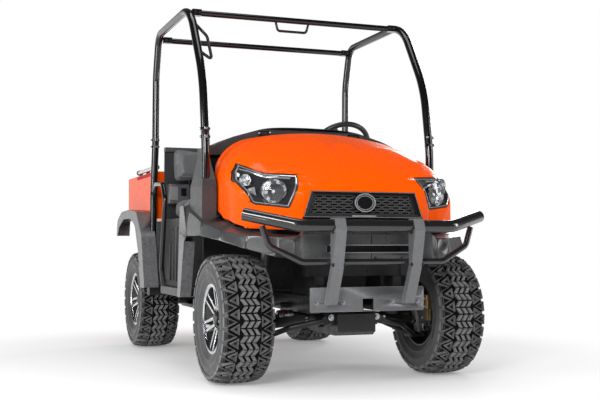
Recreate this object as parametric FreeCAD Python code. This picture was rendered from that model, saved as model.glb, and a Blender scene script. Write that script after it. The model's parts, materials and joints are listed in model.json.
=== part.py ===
import FreeCAD, Part
import math
import os

# Side by side utility vehicle: open two-seat cab, tipping cargo bed, four-wheel drive.
# Millimetres. +X is forward, +Y is the driver's left, +Z is up, and the ground is z = 0.
# Parts that exist on both sides are drawn for the left (+Y) side and mirrored.

Vector = FreeCAD.Vector

# ---- running gear -------------------------------------------------------------------
wheelbase = 1800.0
track = 1070.0
front_overhang = 505.0        # front axle to the face of the guard bars
rear_overhang = 450.0         # rear axle to the tailgate's outer face
tyre_diameter = 600.0         # over the lugs
tyre_width = 240.0
lug_height = 14.0
lug_count = 20
lug_sweep = 34.0              # how far a lug's ends trail its middle
lug_width = 34.0
lug_sink = 2.0                # how far a lug's root lies in the carcass
shoulder_step = 6.0           # a shoulder block stands this much lower than a lug
rim_diameter = 305.0          # bead seat
rim_flange_height = 14.0
rim_width = 200.0
rim_wall = 6.0
spoke_pairs = 6
spindle_radius = 28.0
pin_clearance = 0.3
kingpin_bottom_inset = 95.0   # ball joint, inboard of the tyre's centre plane
kingpin_top_inset = 190.0     # strut mount, inboard of the tyre's centre plane
ball_joint_height = 215.0
strut_top_height = 745.0
steering_arm = 120.0
steering_rod_radius = 8.0
rod_end_gap = 6.0
ball_stud_radius = 10.0
leaf_thickness = 7.0
wheel_lean = 44.0             # degrees of the steering column
hand_wheel_radius = 160.0
hand_grip_radius = 15.0
column_side = 330.0           # steering wheel's centre, left of the middle
column_radius = 17.0

# ---- chassis ------------------------------------------------------------------------
subframe_half_width = 118.0
rail_side = 195.0
rail_width = 50.0
rail_height = 80.0
rail_bottom = 325.0
rail_kick_up = 95.0           # rise of the rails over the rear axle
hoop_side = 520.0             # cowl hoop's uprights, from the middle
hoop_radius = 16.0
hoop_back = 455.0             # front axle back to the cowl hoop
post_foot_height = 745.0      # seat of the roll frame's front posts
bed_pin_radius = 10.0
rack_height = 350.0
rack_housing_radius = 15.0
floor_sheet = 5.0
outrigger_drop = 20.0         # outriggers start this far above the rails' underside
bracket_plate = 12.0
tower_plate = 8.0
bed_rest_gap = 0.3
sheet = 4.0                   # moulded panels

# ---- body ---------------------------------------------------------------------------
body_half_width = 695.0       # over the rear fenders
rear_fender_width = 85.0
rear_fender_gap = 10.0        # bed side to the fender's inner edge
rear_fender_top = 862.0
fender_foot = 392.0           # lower ends of the rear fenders
front_fender_half_width = 668.0
hood_half_width = 562.0
hood_rear_height = 1226.0
hood_wall = 4.0
hood_hinge_side = 250.0
hood_pin_radius = 5.0
panel_gap = 6.0               # shut lines round what opens
bed_length = 800.0
bed_floor_height = 800.0
bed_depth = 285.0
bed_wall = 4.0
bed_runner_height = 45.0      # sub-rails under the bed's floor
bed_hinge_back = 200.0        # tip axis, behind the rear axle
bed_hinge_height = 735.0
tailgate_thickness = 28.0
gate_hinge_side = 420.0
gate_pin_radius = 5.0
grille_row_count = 7
grille_row_pitch = 12.0
grille_slot_pitch = 48.0
grille_slot_height = 8.5
grille_bar = 6.0              # between neighbouring slots of a row

# ---- seats --------------------------------------------------------------------------
seat_box_height = 792.0
cushion_front = 844.0         # front axle back to the cushions' front edge
cushion_rear = 1210.0
cushion_height = 900.0
cushion_side = 548.0          # outer edge of a cushion
seat_gap = 24.0               # between the two cushions
cushion_radius = 28.0
backrest_size = (90.0, 520.0, 212.0)
backrest_radius = 30.0
backrest_lean = 9.0           # degrees
backrest_foot = 1004.0

# ---- roll-over frame ----------------------------------------------------------------
rops_height = 1900.0
rops_tube = 42.0
rops_side = 612.0
rops_post_x = 201.0           # front axle back to the front posts
rops_rear_x = 1386.0          # front axle back to the feet of the rear posts
rops_shoulder_height = 1480.0 # where the front posts bend back
rops_shoulder_x = 262.0
rops_brow_x = 520.0           # where they meet the top bars
cross_tube_radius = 16.0
handle_reach = 66.0           # passenger's handle, inboard of its post
handle_radius = 8.0

# ---- guard --------------------------------------------------------------------------
guard_tube = 57.0
guard_lower_tube = 28.0
guard_height = 727.0
guard_bar_side = 191.0
guard_bar_width = 50.0
guard_plate_half_width = 281.0
guard_plate_thickness = 8.0
guard_plate_x = 350.0         # front axle to the plate's rear face
guard_plate_low = 343.0
guard_plate_high = 453.0
guard_bar_wall = 6.0
plate_bolt_height = 384.0
plate_bolt_sides = (-250.0, -122.0, 122.0, 250.0)

# ---- places that follow from the sizes above ------------------------------------------
axle_height = tyre_diameter / 2
wheel_side = track / 2
front_axle = (wheelbase + rear_overhang - front_overhang) / 2
rear_axle = front_axle - wheelbase
rear_face = rear_axle - rear_overhang
bed_half_width = body_half_width - rear_fender_width - rear_fender_gap
bed_rear = rear_face + tailgate_thickness + panel_gap
bed_front = bed_rear + bed_length
gate_hinge_x = rear_face + tailgate_thickness / 2
gate_hinge_z = bed_floor_height + 2
rail_top = rail_bottom + rail_height
rear_rail_bottom = rail_bottom + rail_kick_up
rear_rail_top = rail_top + rail_kick_up
floor_top = rail_top + floor_sheet
rail_outer = rail_side + rail_width / 2
hoop_x = front_axle - hoop_back
guard_reach = front_overhang - guard_bar_wall - guard_tube / 2 - 8.5
bed_hinge_x = rear_axle - bed_hinge_back
rops_top = rops_height - rops_tube / 2
post_hole = rops_tube / 2 + 0.5
kingpin_low = Vector(front_axle, wheel_side - kingpin_bottom_inset, ball_joint_height)
kingpin_high = Vector(front_axle, wheel_side - kingpin_top_inset, strut_top_height)


def front(distance):
    """x at a distance ahead of the front axle."""
    return front_axle + distance


def rear(distance):
    """x at a distance ahead of the rear axle."""
    return rear_axle + distance


# ---- shape tools ----------------------------------------------------------------------
def box(x, y, z):
    """A block between two corners; each argument is (low, high)."""
    return Part.makeBox(x[1] - x[0], y[1] - y[0], z[1] - z[0], Vector(x[0], y[0], z[0]))


def rod(start, end, radius):
    start, end = Vector(*start), Vector(*end)
    return Part.makeCylinder(radius, (end - start).Length, start, end - start)


def fuse(shapes):
    """One clean solid from pieces that meet."""
    shapes = list(shapes)
    if len(shapes) == 1:
        return shapes[0]
    return shapes[0].fuse(shapes[1:]).removeSplitter()


def mirrored(shape):
    return shape.mirror(Vector(0, 0, 0), Vector(0, 1, 0))


def both(shape):
    """The left piece and its right twin, as separate solids of one part."""
    return Part.makeCompound([shape, mirrored(shape)])


def edges_through(points, radii, closed):
    """Straight edges through the points, with an arc at each point that has a radius."""
    points = [Vector(*p) for p in points]
    count = len(points)
    starts, ends, arcs = list(points), list(points), {}
    for i in range(count):
        if radii[i] <= 0 or (not closed and i in (0, count - 1)):
            continue
        back = (points[i - 1] - points[i]).normalize()
        ahead = (points[(i + 1) % count] - points[i]).normalize()
        half = back.getAngle(ahead) / 2
        middle = (back + ahead).normalize()
        centre = points[i] + middle * (radii[i] / math.sin(half))
        reach = radii[i] / math.tan(half)
        starts[i] = points[i] + back * reach
        ends[i] = points[i] + ahead * reach
        arcs[i] = Part.Arc(starts[i], centre - middle * radii[i], ends[i]).toShape()
    edges = []
    for i in range(count if closed else count - 1):
        j = (i + 1) % count
        if i in arcs:
            edges.append(arcs[i])
        if (starts[j] - ends[i]).Length > 1e-6:
            edges.append(Part.makeLine(ends[i], starts[j]))
    return edges


def loop(points, radius=0.0):
    """A closed wire; radius is one number or one for each point."""
    radii = radius if isinstance(radius, (list, tuple)) else [radius] * len(points)
    return Part.Wire(edges_through(points, radii, True))


def slab(points, depth, radius=0.0):
    """A flat outline pushed along the vector depth."""
    return Part.Face(loop(points, radius)).extrude(Vector(*depth))


def side_slab(profile, y, radius=0.0):
    """An outline in the side view, (x, z), pushed from y[0] to y[1]."""
    return slab([(x, y[0], z) for x, z in profile], (0, y[1] - y[0], 0), radius)


def plan_slab(profile, z, radius=0.0):
    """An outline in plan, (x, y), pushed from z[0] to z[1]."""
    return slab([(x, y, z[0]) for x, y in profile], (0, 0, z[1] - z[0]), radius)


def face_slab(profile, x, radius=0.0):
    """An outline seen from the front, (y, z), pushed from x[0] to x[1]."""
    return slab([(x[0], y, z) for y, z in profile], (x[1] - x[0], 0, 0), radius)


def tube(points, radius, bend=0.0):
    """A round bar through the points, bent on arcs."""
    path = Part.Wire(edges_through(points, [bend] * len(points), False))
    start, toward = Vector(*points[0]), Vector(*points[1]) - Vector(*points[0])
    ring = Part.Wire(Part.makeCircle(radius, start, toward))
    return path.makePipeShell([ring], True, True)


def turned(profile, centre, axis=(0, 1, 0)):
    """A solid of revolution about the Y line through centre; profile is (radius, y)."""
    points = [(centre[0] + r, y, centre[2]) for r, y in profile]
    return Part.Face(loop(points)).revolve(Vector(*centre), Vector(*axis), 360)


# ---- wheels ---------------------------------------------------------------------------
def wheel_centre(axle_x):
    return Vector(axle_x, wheel_side, axle_height)


def tyre(axle_x):
    """Carcass, swept lugs and shoulder blocks for a left wheel."""
    centre = wheel_centre(axle_x)
    bead = rim_diameter / 2 + 0.4
    tread = tyre_diameter / 2 - lug_height
    half, bead_half = tyre_width / 2, rim_width / 2 - 10.0
    y = centre.y
    profile = [
        (bead, y - bead_half), (bead + 16, y - bead_half), (bead + 30, y - half + 12), (bead + 75, y - half),
        (tread - 26, y - half + 4), (tread, y - half + 26), (tread, y + half - 26),
        (tread - 26, y + half - 4), (bead + 75, y + half), (bead + 30, y + half - 12),
        (bead + 16, y + bead_half), (bead, y + bead_half), (bead + 14, y + bead_half - 22),
        (bead + 55, y + half - 22), (tread - 22, y + half - 34), (tread - 22, y - half + 34),
        (bead + 55, y - half + 22),
        (bead + 14, y - bead_half + 22),
    ]
    carcass = turned(profile, centre)
    low = tread - lug_sink
    reach = half - 8.0
    lug = slab(
        [(lug_sweep / -2, -reach, low), (lug_sweep / 2, 0, low), (lug_sweep / -2, reach, low),
         (lug_sweep / -2 - lug_width, reach, low), (lug_sweep / 2 - lug_width, 0, low),
         (lug_sweep / -2 - lug_width, -reach, low)],
        (0, 0, lug_height + lug_sink))
    shoulder = box((-lug_width - 8, -8), (reach - 26, half - 2), (low - 30, low + lug_height - shoulder_step))
    lugs = []
    for i in range(lug_count):
        turn = 360.0 * i / lug_count
        pieces = [lug.copy(), shoulder.copy(), mirrored(shoulder)]
        pieces[1].rotate(Vector(0, 0, 0), Vector(0, 1, 0), 180.0 / lug_count)
        pieces[2].rotate(Vector(0, 0, 0), Vector(0, 1, 0), 180.0 / lug_count)
        for piece in pieces:
            piece.translate(Vector(lug_width / 2, 0, 0))
            piece.rotate(Vector(0, 0, 0), Vector(0, 1, 0), turn)
            piece.translate(centre)
            lugs.append(piece)
    return carcass.fuse(lugs)


def rim(axle_x):
    """Alloy rim with twin spokes; the hub bore takes the spindle."""
    centre = wheel_centre(axle_x)
    y, half = centre.y, rim_width / 2
    seat = rim_diameter / 2
    flange = seat + rim_flange_height
    barrel = turned([
        (seat - rim_wall, y - half), (flange, y - half), (flange, y - half + 7),
        (seat, y - half + 9), (seat - 22, y - 20), (seat - 22, y + 20), (seat, y + half - 9),
        (flange, y + half - 7), (flange, y + half), (seat - rim_wall, y + half),
        (seat - 22 - rim_wall, y + 22), (seat - 22 - rim_wall, y - 22),
    ], centre)
    hub = spindle_radius + 26
    face_y = y + half - 34
    disc = turned([
        (spindle_radius + pin_clearance, face_y - 34), (hub, face_y - 30), (seat - 15, face_y - 4),
        (seat - rim_wall - 0.5, face_y - 4), (seat - rim_wall - 0.5, face_y + 16),
        (hub + 20, face_y + 8), (hub, face_y + 2), (spindle_radius + pin_clearance, face_y + 2),
    ], centre)
    cap = turned([(0, face_y - 3), (hub - 12, face_y - 3), (hub - 12, face_y + 16), (0, face_y + 20)],
                 centre)
    inner, outer = hub + 14, seat - rim_wall - 10
    cuts = []
    for i in range(spoke_pairs):
        window = slab([(inner, face_y - 60, -7), (outer, face_y - 60, -24),
                       (outer, face_y - 60, 24), (inner, face_y - 60, 7)], (0, 120, 0))
        slot = slab([(inner + 12, face_y - 60, -3), (outer, face_y - 60, -9),
                     (outer, face_y - 60, 9), (inner + 12, face_y - 60, 3)], (0, 120, 0))
        window.rotate(Vector(0, 0, 0), Vector(0, 1, 0), 360.0 * i / spoke_pairs)
        slot.rotate(Vector(0, 0, 0), Vector(0, 1, 0), 360.0 * (i + 0.5) / spoke_pairs)
        cuts += [window, slot]
    for cut in cuts:
        cut.translate(Vector(centre.x, 0, centre.z))
    disc = disc.cut(cuts)
    return fuse([barrel, disc, cap])


# ---- front end ------------------------------------------------------------------------
def kingpin_at(height):
    """Point of the steering axis at a height, left side."""
    share = (height - kingpin_low.z) / (kingpin_high.z - kingpin_low.z)
    return kingpin_low + (kingpin_high - kingpin_low) * share


def knuckle():
    """Upright, spindle, steering arm and the strut that turns with it, left side."""
    axis = (kingpin_high - kingpin_low).normalize()
    spindle = rod((front_axle, wheel_side - 60, axle_height),
                  (front_axle, wheel_side + rim_width / 2 - 42, axle_height), spindle_radius)
    foot = kingpin_low - axis * 2
    carrier = rod((front_axle, wheel_side - 105, axle_height), (front_axle, wheel_side - 50, axle_height), 52)
    post = rod(foot, kingpin_at(axle_height + 110), 20)
    shield = rod((front_axle, wheel_side - 66, axle_height), (front_axle, wheel_side - 52, axle_height), 88)
    arm_root = kingpin_at(rack_height)
    arm = plan_slab([(front_axle + 14, arm_root.y - 18), (front_axle + 14, arm_root.y + 12),
                     (front(-steering_arm), arm_root.y + 12), (front(-steering_arm), arm_root.y - 12)],
                    (rack_height - 7, rack_height + 7), [4, 4, 0, 0])
    boss = rod((front(-steering_arm), arm_root.y, rack_height - 15),
               (front(-steering_arm), arm_root.y, rack_height + 15), 14)
    body = rod(kingpin_at(axle_height + 60), kingpin_at(620), 20)
    piston = rod(kingpin_at(615), kingpin_high - axis * 10, 10)
    seat = rod(kingpin_at(tyre_diameter + 20), kingpin_at(tyre_diameter + 25), 50)
    cap = rod(kingpin_high - axis * 10, kingpin_high - axis * 0.3, 54)
    core = rod(kingpin_at(tyre_diameter + 24), kingpin_high - axis * 8, 36)
    coils = 4
    low, high = tyre_diameter + 34, strut_top_height - 18
    spring = []
    for i in range(coils):
        coil = kingpin_at(low + (high - low) * i / (coils - 1))
        spring.append(rod(coil - axis * 5, coil + axis * 5, 45))
    pieces = [spindle, carrier, post, shield, arm, boss, body, piston, seat, cap, core]
    solid = fuse(pieces + spring)
    return solid.cut(rod(foot - axis * 5, foot + axis * 18, ball_stud_radius + pin_clearance))


def lower_arms():
    """A-arms from the subframe to the ball joints."""
    axis = (kingpin_high - kingpin_low).normalize()
    ball = kingpin_low - axis * 16
    inner_y, inner_z = subframe_half_width + 20.3, 292.0
    legs = [tube([(front(x), inner_y, inner_z), (front(x * 0.7), inner_y + 150, inner_z - 34),
                  (front_axle, ball.y - 30, ball.z - 5)], 13, 60) for x in (165, -165)]
    pads = [rod((front(x - 26), inner_y, inner_z), (front(x + 26), inner_y, inner_z), 20)
            for x in (165, -165)]
    plate = plan_slab([(front(-40), ball.y - 70), (front(40), ball.y - 70), (front(22), ball.y + 16),
                       (front(-22), ball.y + 16)], (ball.z - 12, ball.z + 2), 10)
    stud = rod(ball - axis * 2, kingpin_low + axis * 14, ball_stud_radius)
    return both(fuse(legs + pads + [plate, stud]))


def front_subframe():
    """Cross-member, skid, differential and half shafts."""
    beam = box((front(-200), front(200)), (-subframe_half_width, subframe_half_width), (270, rail_bottom))
    skid = side_slab([(front(200), 322), (front(228), 322), (front(228), 240), (front(196), 222),
                      (front(-120), 222), (front(-200), 270), (front(200), 270)], (-96, 96))
    case = rod((front_axle, -112, axle_height + 8), (front_axle, 112, axle_height + 8), 62)
    shafts = []
    for side in (1, -1):
        inner = (front_axle, side * 110, axle_height + 6)
        joint = (front_axle, side * 166, axle_height + 4)
        outer = (front_axle, side * 330, axle_height)
        shafts.append(rod(inner, joint, 20))
        shafts.append(rod((front_axle, side * 165, axle_height + 4), outer, 13))
        shafts.append(Part.makeCone(20, 36, 44, Vector(front_axle, side * 322, axle_height),
                                    Vector(0, side, 0)))
    return fuse([beam, skid, case] + shafts)


def tie_rods():
    """Rack bar with a tie rod at each end; it slides across the vehicle."""
    reach = kingpin_at(rack_height).y - 14 - rod_end_gap
    x, z = front(-steering_arm), rack_height
    bar = rod((x, -reach, z), (x, reach, z), steering_rod_radius)
    inner, outer = rail_side + 134, rail_side + 172
    joints = [rod((x, side * inner, z), (x, side * outer, z), 13) for side in (1, -1)]
    return fuse([bar] + joints)


# ---- chassis --------------------------------------------------------------------------
def chassis_rail():
    """Left rail, kicked up over the rear axle."""
    return side_slab([
        (front(190), rail_bottom), (front(190), rail_top), (rear(360), rail_top), (rear(220), rear_rail_top),
        (rear(-300), rear_rail_top), (rear(-300), rear_rail_bottom), (rear(200), rear_rail_bottom),
        (rear(340), rail_bottom)], (rail_side - rail_width / 2, rail_outer))


def chassis_frame():
    """Ladder frame with the rack's housing."""
    rail = chassis_rail()
    # Cross-members: x, width along x, height of the underside.
    members = [(front(-330), 50, rail_bottom), (front(-700), 50, rail_bottom), (rear(430), 50, rail_bottom),
               (rear(60), 40, rear_rail_bottom), (rear(-280), 40, rear_rail_bottom)]
    steps = [box((x - width / 2, x + width / 2), (-rail_side, rail_side), (z + 6, z + rail_height - 6))
             for x, width, z in members]
    x, z = front(-steering_arm), rack_height
    reach = rail_side + 60
    housing = rod((x, -reach, z), (x, reach, z), rack_housing_radius)
    bore = rod((x, -reach - 30, z), (x, reach + 30, z), steering_rod_radius + pin_clearance)
    return fuse([rail, mirrored(rail), housing] + steps).cut(bore)


def strut_towers():
    """Towers on the rails that hold the struts' upper ends."""
    axis = (kingpin_high - kingpin_low).normalize()
    top = strut_top_height + 1
    web = side_slab([(front(-95), rail_top), (front(95), rail_top), (front(60), top), (front(-60), top)],
                    (rail_side - bracket_plate / 2, rail_side + bracket_plate / 2))
    shelf = box((front(-60), front(60)), (rail_side - bracket_plate / 2, kingpin_high.y - 44),
                (top - tower_plate, top))
    seat = rod(kingpin_high, kingpin_high + axis * 7, 60)
    return both(fuse([web, shelf, seat]))


def cowl_hoop():
    """Hoop under the cowl on its outriggers, with the feet of the roll frame's front posts."""
    side = hoop_side
    hoop = tube([(hoop_x, side, rail_top - 20), (hoop_x, side, 1000), (hoop_x, side - 90, 1080),
                 (hoop_x, 0, 1080)], hoop_radius, 40)
    outrigger = box((front(-470), front(-420)), (rail_outer, 590), (rail_bottom + outrigger_drop, rail_top))
    arm = box((hoop_x - 10, front(-165)), (side - 6, side + 26),
              (post_foot_height - 45, post_foot_height - 8))
    pad = box((front(-240), front(-165)), (side - 6, rops_side + 30),
              (post_foot_height - 10, post_foot_height))
    left = [hoop, outrigger, arm, pad]
    return fuse(left + [mirrored(piece) for piece in left])


def rear_supports():
    """Rear outriggers with their posts, the bed's hinge posts and its front rest."""
    outrigger = fuse([
        box((rear(376), rear(445)), (rail_outer, 640), (rail_bottom + outrigger_drop, rail_top)),
        box((rear(400), rear(435)), (520, 560), (rail_top - 20, 812)),
    ])
    upright = box((bed_hinge_x - 30, bed_hinge_x + 30), (rail_side - 20, rail_side + 20),
                  (rear_rail_top, bed_hinge_height - 36))
    ear = side_slab([(bed_hinge_x - 26, bed_hinge_height - 50), (bed_hinge_x + 26, bed_hinge_height - 50),
                     (bed_hinge_x + 18, bed_hinge_height + 18), (bed_hinge_x - 18, bed_hinge_height + 18)],
                    (rail_side - 20, rail_side - 20 + bracket_plate), [0, 0, 12, 12])
    pin = rod((bed_hinge_x, -rail_side - 20, bed_hinge_height),
              (bed_hinge_x, rail_side + 20, bed_hinge_height), bed_pin_radius)
    hinge = fuse([upright, ear, mirrored(upright), mirrored(ear), pin])
    rest_top = bed_floor_height - bed_runner_height - bed_rest_gap
    rest = box((rear(300), rear(340)), (-rail_side - 20, rail_side + 20), (rest_top - 50, rest_top))
    leg = box((rear(300), rear(340)), (rail_side - 20, rail_side + 20), (rail_top, rest_top - 49))
    leg = leg.cut(chassis_rail())
    return Part.makeCompound([outrigger, mirrored(outrigger), hinge, fuse([rest, leg, mirrored(leg)])])


# ---- hood -----------------------------------------------------------------------------
# Sections of the hood: x ahead of the front axle, half width, height in the middle,
# radius of the shoulder and slope of the crown where it meets the shoulder, in degrees.
HOOD_SECTIONS = [
    (-470, hood_half_width - 42, hood_rear_height, 240, 12),
    (-280, hood_half_width - 10, hood_rear_height - 10, 222, 12),
    (-60, hood_half_width, 1144, 184, 11),
    (80, hood_half_width - 12, 1074, 156, 10),
    (180, hood_half_width - 38, 1014, 150, 9),
    (250, hood_half_width - 148, 968, 84, 8),
    (296, hood_half_width - 232, 924, 38, 6),
    (318, hood_half_width - 262, 892, 18, 5),
]
# Lower edge of the hood in the side view: x ahead of the front axle, height.
HOOD_EDGE = [(-252, 826), (-110, 784), (60, 742), (180, 719), (330, 708)]
GRILLE = [(-300, 767), (-261, 888), (261, 888), (300, 767)]
hood_hinge = Vector(front(-374), 0, hood_rear_height - 10)


def hood_section(x, half, top, shoulder, slope, inset=0.0):
    """Closed wire across the hood: upright sides, round shoulders, crowned middle."""
    x, half, top, radius = front(x), half - inset, top - inset, shoulder - inset
    lean = math.radians(slope)
    crown_y = half - radius * (1 - math.sin(lean))
    crown_z = top - crown_y * math.tan(lean / 2)
    centre_y, centre_z = half - radius, crown_z - radius * math.cos(lean)
    bulge = (math.pi / 2 - lean) / 2
    mid_y, mid_z = centre_y + radius * math.cos(bulge), centre_z + radius * math.sin(bulge)
    low = 640.0 - 2 * inset
    p = [Vector(x, -half, low), Vector(x, -half, centre_z), Vector(x, -mid_y, mid_z),
         Vector(x, -crown_y, crown_z), Vector(x, 0, top), Vector(x, crown_y, crown_z),
         Vector(x, mid_y, mid_z), Vector(x, half, centre_z), Vector(x, half, low)]
    return Part.Wire([
        Part.makeLine(p[0], p[1]), Part.Arc(p[1], p[2], p[3]).toShape(),
        Part.Arc(p[3], p[4], p[5]).toShape(), Part.Arc(p[5], p[6], p[7]).toShape(),
        Part.makeLine(p[7], p[8]), Part.makeLine(p[8], p[0])])


def hood_body(inset=0.0):
    rows = []
    for x, half, top, shoulder, slope in HOOD_SECTIONS:
        rows.append(hood_section(x - inset, half, top, shoulder, slope, inset))
    return Part.makeLoft(rows, True, True)


def lamp_outline(inset, x):
    """Headlamp opening seen from the front, left side."""
    points = [(297, 966), (298, 943), (351, 807), (502, 827), (550, 945), (539, 988), (513, 1032),
              (491, 1008), (441, 973)]
    face = Part.Face(loop([(x, y, z) for y, z in points], [6, 30, 14, 30, 30, 20, 8, 20, 30]))
    return face.makeOffset2D(-inset) if inset else face


def hood_panel():
    """The tilting hood: a thin shell with openings for the lamps and the grille."""
    shell = hood_body().cut(hood_body(hood_wall))
    trim = [(front(x), z) for x, z in HOOD_EDGE]
    below = [(front(340), 600), (front(-500), 600), (front(-500), 900)] + trim
    behind = [(front(-252), 820), (front(-262), 1010), (front(-338), 1100), (front(-344), 1165),
              (front(-362), 1190), (front(-362), 1300), (front(-520), 1300), (front(-520), 820)]
    lamp = lamp_outline(0, front(-60)).extrude(Vector(420, 0, 0))
    grille = face_slab(GRILLE, (front(285), front(340)))
    panel = shell.cut([side_slab(below, (-700, 700)), side_slab(behind, (-700, 700)),
                       lamp, mirrored(lamp), grille])
    chin = box((front(280), front(345)), (-303, 303), (600, 767))
    panel = panel.cut(chin)
    arms = []
    for y in (hood_hinge_side, -hood_hinge_side):
        x, z = hood_hinge.x, hood_hinge.z
        eye = rod((x, y - 12, z), (x, y + 12, z), 10)
        neck = side_slab([(x - 9, z), (x - 7, z - 34), (x + 66, z - 44), (x + 66, z - 28), (x + 9, z - 24),
                          (x + 9, z)], (y - 12, y + 12))
        pad = box((x + 30, x + 66), (y - 12, y + 12), (z - 42, z + 20)).common(hood_body(hood_wall - 0.5))
        arms += [eye, neck, pad]
    bore = rod((hood_hinge.x, -400, hood_hinge.z), (hood_hinge.x, 400, hood_hinge.z),
               hood_pin_radius + pin_clearance)
    return fuse([panel] + arms).cut(bore)


def grille():
    """Slotted grille with a plain oval boss and a latch grip under it."""
    fit = Part.Face(loop([(front(292), y, z) for y, z in GRILLE])).makeOffset2D(-0.4)
    plate = fit.extrude(Vector(8, 0, 0))
    rim_out = fit.extrude(Vector(24, 0, 0))
    rim_in = face_slab([(-274, 783), (-244, 873), (244, 873), (274, 783)], (front(280), front(330)))
    slots = []
    for row in range(grille_row_count):
        z = 787 + row * grille_row_pitch
        reach = 262 - row * 4.4
        offset = (row % 2) * grille_slot_pitch / 2
        last = int(reach // grille_slot_pitch) + 1
        for i in range(-last - 1, last + 1):
            low = max(i * grille_slot_pitch + offset + grille_bar / 2, -reach)
            high = min((i + 1) * grille_slot_pitch + offset - grille_bar / 2, reach)
            if high - low > 12:
                slots.append(box((front(285), front(306)), (low, high), (z, z + grille_slot_height)))
    plate = plate.cut(slots)
    ring = Part.Face(Part.Wire(Part.Ellipse(Vector(0, 0, 0), 52, 43).toShape()))
    ring.rotate(Vector(0, 0, 0), Vector(0, 1, 0), 90)
    ring.rotate(Vector(0, 0, 0), Vector(1, 0, 0), 90)
    ring.translate(Vector(front(296), 0, 836))
    boss = ring.extrude(Vector(30, 0, 0))
    grip = fuse([box((front(300), front(318)), (-62, 62), (771, 779)),
                 box((front(296), front(303)), (-62, 62), (771, 783))])
    return fuse([rim_out.cut(rim_in), plate, boss, grip])


def headlamp():
    """Lamp housing with a large and a small round lamp, left side."""
    skin = hood_body(hood_wall + 0.3).cut(hood_body(hood_wall + 16.0))
    bezel_out = lamp_outline(2.5, front(-60)).extrude(Vector(420, 0, 0))
    bezel_in = lamp_outline(16, front(-80)).extrude(Vector(460, 0, 0))
    bezel = skin.common(bezel_out).cut(bezel_in)
    seat = hood_body(hood_wall + 0.3).cut(hood_body(hood_wall + 4.0))
    flange = seat.common(lamp_outline(-9, front(-60)).extrude(Vector(420, 0, 0)))
    deep = hood_body(hood_wall + 16.0).cut(hood_body(hood_wall + 40.0)).common(bezel_out)
    lamp_axis = Vector(0.94, 0.34, 0.03)
    big = Part.makeCylinder(56, 60, Vector(front(168), 388, 884), lamp_axis)
    small_axis = Vector(0.82, 0.56, 0.05)
    small = Part.makeCylinder(27, 46, Vector(front(67), 476, 939), small_axis)
    return fuse([bezel, flange, deep, big, small])


# ---- lower front plastics ---------------------------------------------------------------
# Strip round the front: each row is (x ahead of the front axle, y, z) of the upper edge
# under the hood, of the ridge and of the lower lip.
STRIP = [
    ((-500, 560, 872), (-500, 652, 838), (-500, front_fender_half_width, 700)),
    ((-360, 560, 852), (-360, 656, 812), (-360, front_fender_half_width, 686)),
    ((-120, 544, 776), (-120, 652, 752), (-120, front_fender_half_width - 4, 688)),
    ((80, 546, 728), (96, 612, 708), (100, 630, 664)),
    ((206, 448, 706), (246, 540, 684), (250, 556, 628)),
    ((266, 352, 692), (336, 420, 676), (336, 436, 590)),
    ((284, 304, 692), (362, 350, 676), (362, 356, 580)),
    ((298, 290, 754), (370, 320, 690), (370, 320, 574)),
    ((308, 0, 756), (396, 0, 690), (396, 0, 560)),
]


def strip_section(row):
    """Closed wire of a strip's cross-section, with its wall on the inner side."""
    edge, ridge, lip = [Vector(front(x), y, z) for x, y, z in row]
    level = (edge - ridge).normalize() * sheet
    down = (lip - ridge).normalize() * sheet
    return Part.makePolygon([edge, ridge, lip, lip + level, ridge + level + down, edge + down, edge])


def strip(rows):
    return Part.makeLoft([strip_section(row) for row in rows], True, True)


def strip_mass(rows):
    """Everything under a strip, for trimming what stands on it."""
    sections = []
    for row in rows:
        edge, ridge, lip = [Vector(front(x), y, z) for x, y, z in row]
        sections.append(Part.makePolygon([edge, ridge, lip, Vector(lip.x, lip.y, 300),
                                          Vector(edge.x, edge.y, 300), edge]))
    return Part.makeLoft(sections, True, True)


def front_fender():
    """Left front fender: arch strip and the pillar down to the sill."""
    arch = strip(STRIP[:5])
    y = front_fender_half_width
    outline = [(front(-500), 840), (front(-548), 376), (front(-492), 376), (front(-412), 660),
               (front(-372), 688), (front(-372), 720), (front(-430), 840)]
    pillar = side_slab(outline, (y - sheet - 2, y - 2), [0, 6, 6, 40, 10, 0, 0])
    flange = side_slab([(front(-548), 376), (front(-500), 840), (front(-496), 840), (front(-544), 376)],
                       (y - 74, y - 2))
    lip = side_slab([(front(-496), 376), (front(-492), 376), (front(-412), 660), (front(-416), 660)],
                    (y - 60, y - 2))
    foot = box((front(-546), front(-492)), (y - 74, y - 2), (376, 380))
    hole = rod((front(-rops_post_x), rops_side, 600), (front(-rops_post_x), rops_side, 900), post_hole)
    return fuse([arch, pillar, flange, lip, foot]).cut(hole)


def front_fascia():
    """Bumper moulding between the fenders, with a slot behind the guard."""
    left = strip(STRIP[4:])
    shell = fuse([left, mirrored(left)])
    slot = box((front(376), front(420)), (-215, 215), (612, 640))
    under_grille = box((front(284), front(345)), (-297, 297), (600, 761))
    return shell.cut([slot, hood_body(-1.0).cut(under_grille)])


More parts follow.
